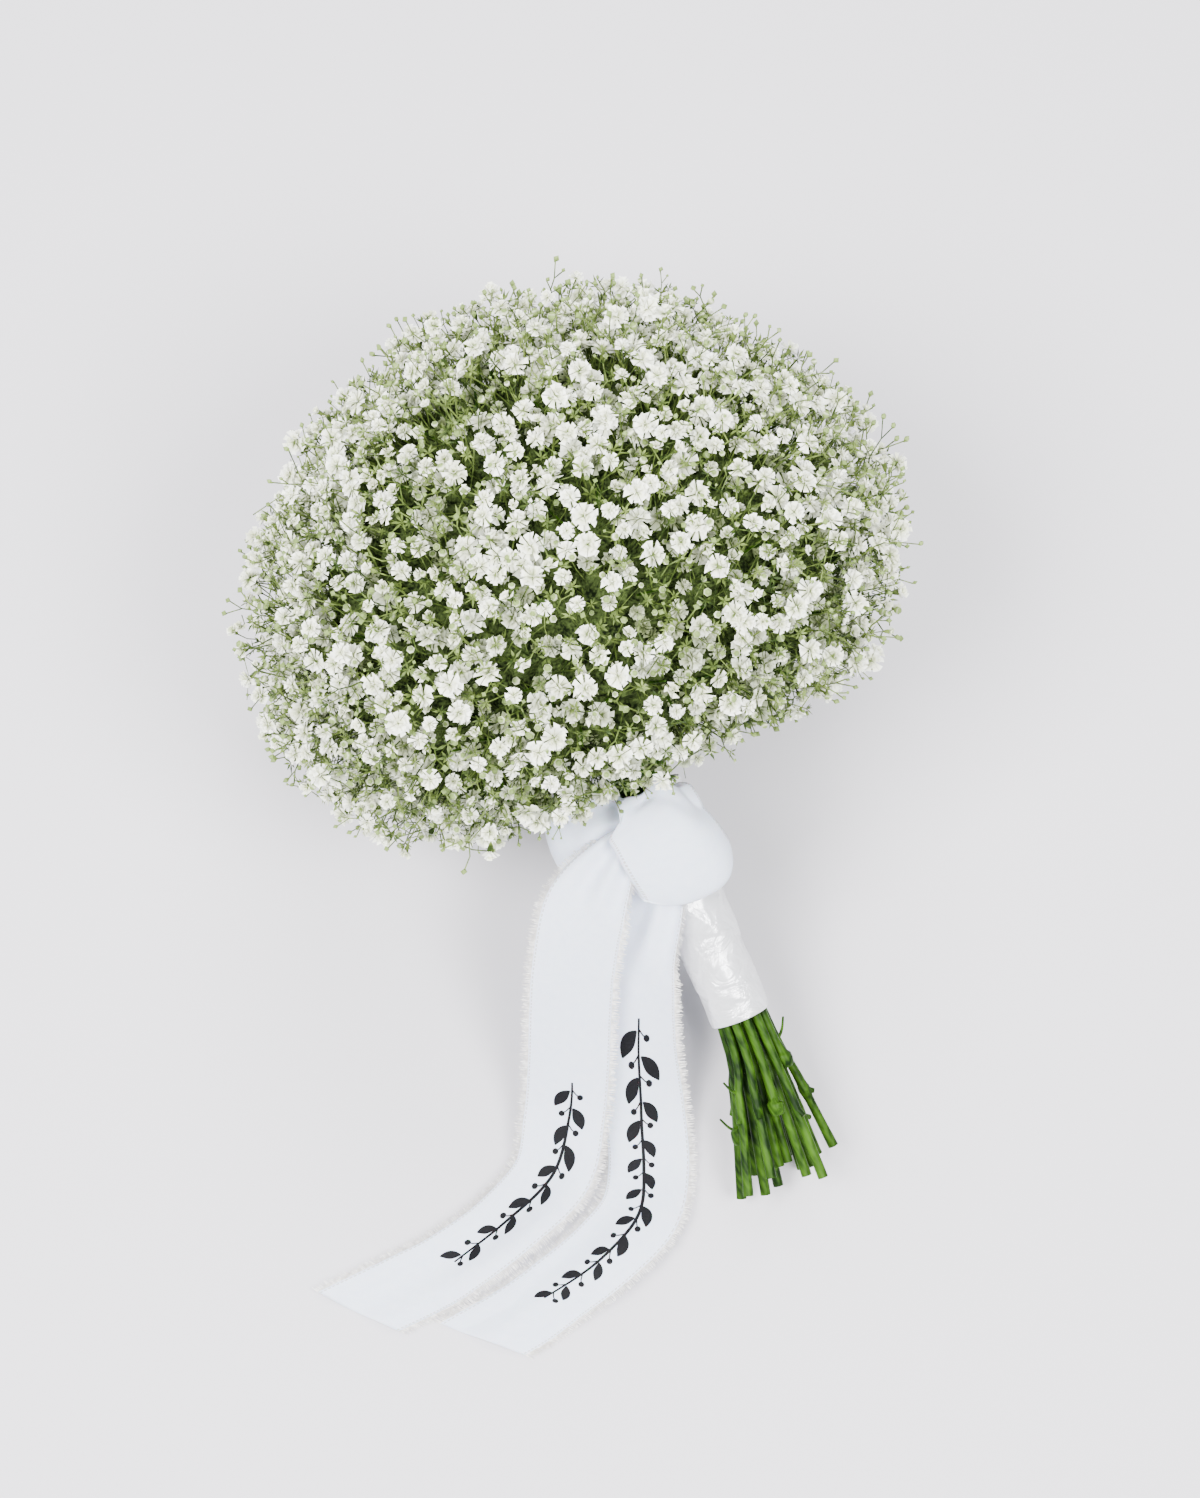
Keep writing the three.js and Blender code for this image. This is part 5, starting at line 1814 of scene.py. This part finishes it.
heading = add_node(
    fringe_tree, "ShaderNodeVectorMath", {0: away.outputs[0], 1: wild.outputs[0]}, operation="ADD"
)
turned = add_node(fringe_tree, "FunctionNodeAlignRotationToVector", {"Vector": heading.outputs[0]}, axis="X")
grown = add_node(
    fringe_tree, "FunctionNodeRandomValue",
    {"Min": (SHORT_THREAD, 1, 1), "Max": (LONG_THREAD, 1, 1), "Seed": 4},
    data_type="FLOAT_VECTOR",
)
strand = add_node(fringe_tree, "GeometryNodeObjectInfo", {"Object": given["Thread"]})
copies = add_node(
    fringe_tree, "GeometryNodeInstanceOnPoints",
    {
        "Points": spots.outputs[0], "Instance": strand.outputs["Geometry"], "Rotation": turned.outputs[0],
        "Scale": grown.outputs[0],
    },
)
solid = add_node(fringe_tree, "GeometryNodeRealizeInstances", {"Geometry": copies.outputs[0]})
pressed = kept_above(fringe_tree, solid.outputs[0], LOWEST_THREAD)
finished = add_node(
    fringe_tree, "GeometryNodeSetMaterial", {"Geometry": pressed, "Material": given["Finish"]}
)
fringe_tree.links.new(finished.outputs[0], result.inputs[0])
print("fringe nodes", len(fringe_tree.nodes))

# %% One thread
# in mm: its length, how far its root reaches into the cloth, and its radii from root to tip
THREAD_LENGTH, THREAD_ROOT, THREAD_RADII = 3.8, 0.4, (0.17, 0.16, 0.11)
thread_points = [(-THREAD_ROOT, 0, 0), (THREAD_LENGTH * 0.5, 0.12, 0.1), (THREAD_LENGTH, 0, 0)]
thread_mesh = joined_mesh("thread_mesh", [tube(thread_points, THREAD_RADII, 3)])
thread_object = bpy.data.objects.new("thread", thread_mesh)
print("triangles in a thread", triangles(thread_object))

# %% Fringe
# the distance between threads in metres, and how wildly they slant
THREAD_SPACING, THREAD_SLANT = 0.00046, 0.2


def fringe(name, rims):
    """Threads along the rims of a tail."""
    vertices, edges, ways = [], [], []
    for rim, inside in rims:
        first = len(vertices)
        vertices += [tuple(p) for p in rim]
        edges += [(first + i, first + i + 1) for i in range(len(rim) - 1)]
        ways += list(unit(rim - inside).ravel())
    mesh = bpy.data.meshes.new(name + "_edge")
    mesh.from_pydata(vertices, edges, [])
    mesh.attributes.new("away", "FLOAT_VECTOR", "POINT").data.foreach_set("vector", ways)
    base = bpy.data.objects.new(name + "_edge", mesh)
    bpy.context.scene.collection.objects.link(base)
    made = run_tree(
        name, base, fringe_tree,
        {"Thread": thread_object, "Thread spacing": THREAD_SPACING, "Slant": THREAD_SLANT, "Seed": 31,
         "Finish": loose_yarn},
    )
    bpy.data.objects.remove(base)
    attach(made, "root")
    print("triangles in", name, triangles(made))
    return made


def rims_of(grid):
    """The two long rims of a sheet, each with the row of points inside it, from where it leaves the knot."""
    start = len(grid) // 12
    return [(grid[start:, 0], grid[start:, 1]), (grid[start:, -1], grid[start:, -2])]


outer_fringe = fringe("outer_tail_fringe", rims_of(outer_grid))
inner_fringe = fringe("inner_tail_fringe", rims_of(inner_grid))

# %% [markdown]
# ## A sprig in black ink
#
# Each tail carries an ornament in black ink: a curving stalk with pointed leaves and small berries. Ink is a
# film on the cloth, so it is made as thin closed shapes that follow the waves of the tail, about a fifth of
# a millimetre above it.

# %% Ink material
# Printed ink soaks into the threads, so it dries matt and deep black, with a hint of the weave's grain.
ink, tree, shader = new_material("black_screen_print_ink")
place = add_node(tree, "ShaderNodeTexCoord")
grain = add_node(
    tree, "ShaderNodeTexNoise", {"Vector": place.outputs["Object"], "Scale": 1200.0, "Detail": 2.0}
)
tone = add_node(tree, "ShaderNodeValToRGB", {"Fac": grain.outputs["Fac"]})
tone.color_ramp.elements[0].color, tone.color_ramp.elements[1].color = linear("#08080a"), linear("#18181b")
tree.links.new(tone.outputs["Color"], shader.inputs["Base Color"])
shader.inputs["Roughness"].default_value = 0.7
shader.inputs["Specular IOR Level"].default_value = 0.1
print("ink nodes", len(tree.nodes))

# %% Points on a tail
def on_tail(grid, length, places, lift):
    """Points above a tail at places (mm across from its middle, mm along from the knot)."""
    rows, columns = grid.shape[:2]
    over, through = np.gradient(grid, axis=0), np.gradient(grid, axis=1)
    normals = unit(np.cross(through, over))
    normals *= np.where(normals[..., 2:].mean() < 0, -1, 1)
    surface = grid + normals * lift * MM
    points = []
    for across, along in places:
        c = min(max((across / WOVEN_WIDTH + 0.5) * (columns - 1), 0), columns - 1.001)
        r = min(max(along / length * (rows - 1), 0), rows - 1.001)
        i, j, a, b = int(r), int(c), r % 1, c % 1
        near = surface[i, j] * (1 - b) + surface[i, j + 1] * b
        far = surface[i + 1, j] * (1 - b) + surface[i + 1, j + 1] * b
        points.append(near * (1 - a) + far * a)
    return points


print("length of the outer tail's grid", round(outer_length), "mm in", len(outer_grid), "rows")

# %% [markdown]
# ## Strokes
#
# Every part of the sprig is one brush stroke: a middle line on the flat cloth, with half its width at each
# point. A leaf is a stroke that swells and tapers, and a berry is a short one as wide as it is long.

# %% Strokes of the sprig
# points across a stroke
STROKE_COLUMNS = 5


def stroke(middle, halves):
    """A band of ink round a line on the cloth, as rows of points."""
    middle = np.asarray(middle, float)
    along = unit(np.gradient(middle, axis=0))
    side = np.stack([-along[:, 1], along[:, 0]], axis=1)
    shares = np.linspace(-1, 1, STROKE_COLUMNS)
    return [[m + s * h * t for t in shares] for m, s, h in zip(middle, side, halves)]


# in mm: the distance between leaves and their length; then half a leaf's width as a share of its length
LEAF_GAP, LEAF_SIZE, LEAF_HALF = 8.4, 11.0, 0.25
LEAF_STEPS, STALK_STEPS = 10, 80
BERRY_RADIUS = 1.35


def leaf_stroke(root, angle, size, turn):
    """A pointed leaf that bends a little, from its root on the stalk."""
    steps = np.linspace(0, 1, LEAF_STEPS)
    bend = angle + turn * steps
    ways = np.stack([np.sin(bend), np.cos(bend)], axis=1)
    middle = np.cumsum(ways * size / (LEAF_STEPS - 1), axis=0) + root
    return stroke(middle, LEAF_HALF * size * np.sin(math.pi * np.clip(steps, 0.02, 0.98)) ** 0.8)


def sprig_strokes(start, end, seed):
    """The stalk, leaves and berries of a sprig between two lengths along a tail."""
    draw = random.Random(seed)
    lengths = np.linspace(start, end, STALK_STEPS)
    sway = 2.4 * np.sin((lengths - start) / 19 + seed)
    stalk = np.stack([sway, lengths], axis=1)
    strokes = [stroke(stalk, 0.42 + 0.35 * np.sin(math.pi * np.linspace(0, 1, STALK_STEPS)))]
    count = round((end - start) / LEAF_GAP)
    for k in range(count):
        side = 1 if k % 2 else -1
        spot = round((k + 0.4) / count * (STALK_STEPS - 1))
        size = LEAF_SIZE * (1 - 0.3 * k / count) + draw.uniform(-0.8, 0.8)
        strokes.append(leaf_stroke(stalk[spot], side * draw.uniform(0.7, 0.95), size, -side * 0.5))
        berry = stalk[spot] + (-side * draw.uniform(3.2, 4.0), draw.uniform(3.2, 4.2))
        strokes.append(stroke([stalk[spot], (stalk[spot] + berry) / 2 + (0, 0.5), berry], (0.3, 0.26, 0.26)))
        ring = np.linspace(-1, 1, 9)
        dots = [berry + (0, BERRY_RADIUS * t) for t in ring]
        strokes.append(stroke(dots, BERRY_RADIUS * np.sqrt(1.02 - ring**2)))
    return strokes


print("strokes in the sprig of the outer tail", len(sprig_strokes(138, 232, 1)))

# %% Sprig
# in mm above the middle of the cloth, which is a quarter of a millimetre thick
INK_TOP, INK_BOTTOM = 0.34, 0.18


def print_sprig(name, grid, length, start, end, seed):
    """The sprig as one closed mesh on a tail, between two lengths along it."""
    vertices, faces = [], []
    for rows in sprig_strokes(start, end, seed):
        flat = [place for row in rows for place in row]
        n, wide, first = len(rows), STROKE_COLUMNS, len(vertices)
        vertices += on_tail(grid, length, flat, INK_TOP) + on_tail(grid, length, flat, INK_BOTTOM)
        for r in range(n - 1):
            for c in range(wide - 1):
                corner = first + wide * r + c
                quad = (corner, corner + 1, corner + wide + 1, corner + wide)
                faces += [quad, tuple(wide * n + v for v in quad[::-1])]
        rim = [wide * r for r in range(n)] + [wide * (n - 1) + c for c in range(1, wide)]
        rim += [wide * r + wide - 1 for r in reversed(range(n - 1))] + list(range(wide - 2, 0, -1))
        for a, b in zip(rim, rim[1:] + rim[:1]):
            faces.append((first + a, first + b, first + wide * n + b, first + wide * n + a))
    made = new_object(name, vertices, faces, ink)
    tidy_mesh(made)
    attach(made, "root")
    print("triangles in", name, triangles(made))
    return made


outer_sprig = print_sprig("outer_tail_sprig", outer_grid, outer_length, 138, 232, 1)
inner_sprig = print_sprig("inner_tail_sprig", inner_grid, inner_length, 92, 236, 2)

# %% [markdown]

# %% [markdown]
# ## The binding tape
#
# A paper tape binds the stems at the neck, under the satin. The model's plain ring is already the right
# shape for it, so the ring stays and only gets its finish.

# %% Tape material
# Crepe paper is stretched as it is wound, which leaves fine wrinkles and no gloss.
tape, tree, shader = new_material("green_crepe_paper_tape")
place = add_node(tree, "ShaderNodeTexCoord")
crepe = add_node(
    tree, "ShaderNodeTexNoise", {"Vector": place.outputs["Object"], "Scale": 900.0, "Detail": 2.0}
)
bump = add_node(tree, "ShaderNodeBump", {"Height": crepe.outputs["Fac"], "Strength": 0.5, "Distance": 0.0003})
tree.links.new(bump.outputs[0], shader.inputs["Normal"])
shader.inputs["Base Color"].default_value = linear("#567a3c")
shader.inputs["Roughness"].default_value = 0.8
tape_node = frame["nodes"]["binding_tape"]
tape_node.data.materials.clear()
tape_node.data.materials.append(tape)
print("the tape's ring has", triangles(tape_node), "triangles")

# %% [markdown]
# ## The end
#
# The shell that the flowers were scattered over goes, so that only finished pieces are left.

# %% Finish
bpy.data.objects.remove(shell)
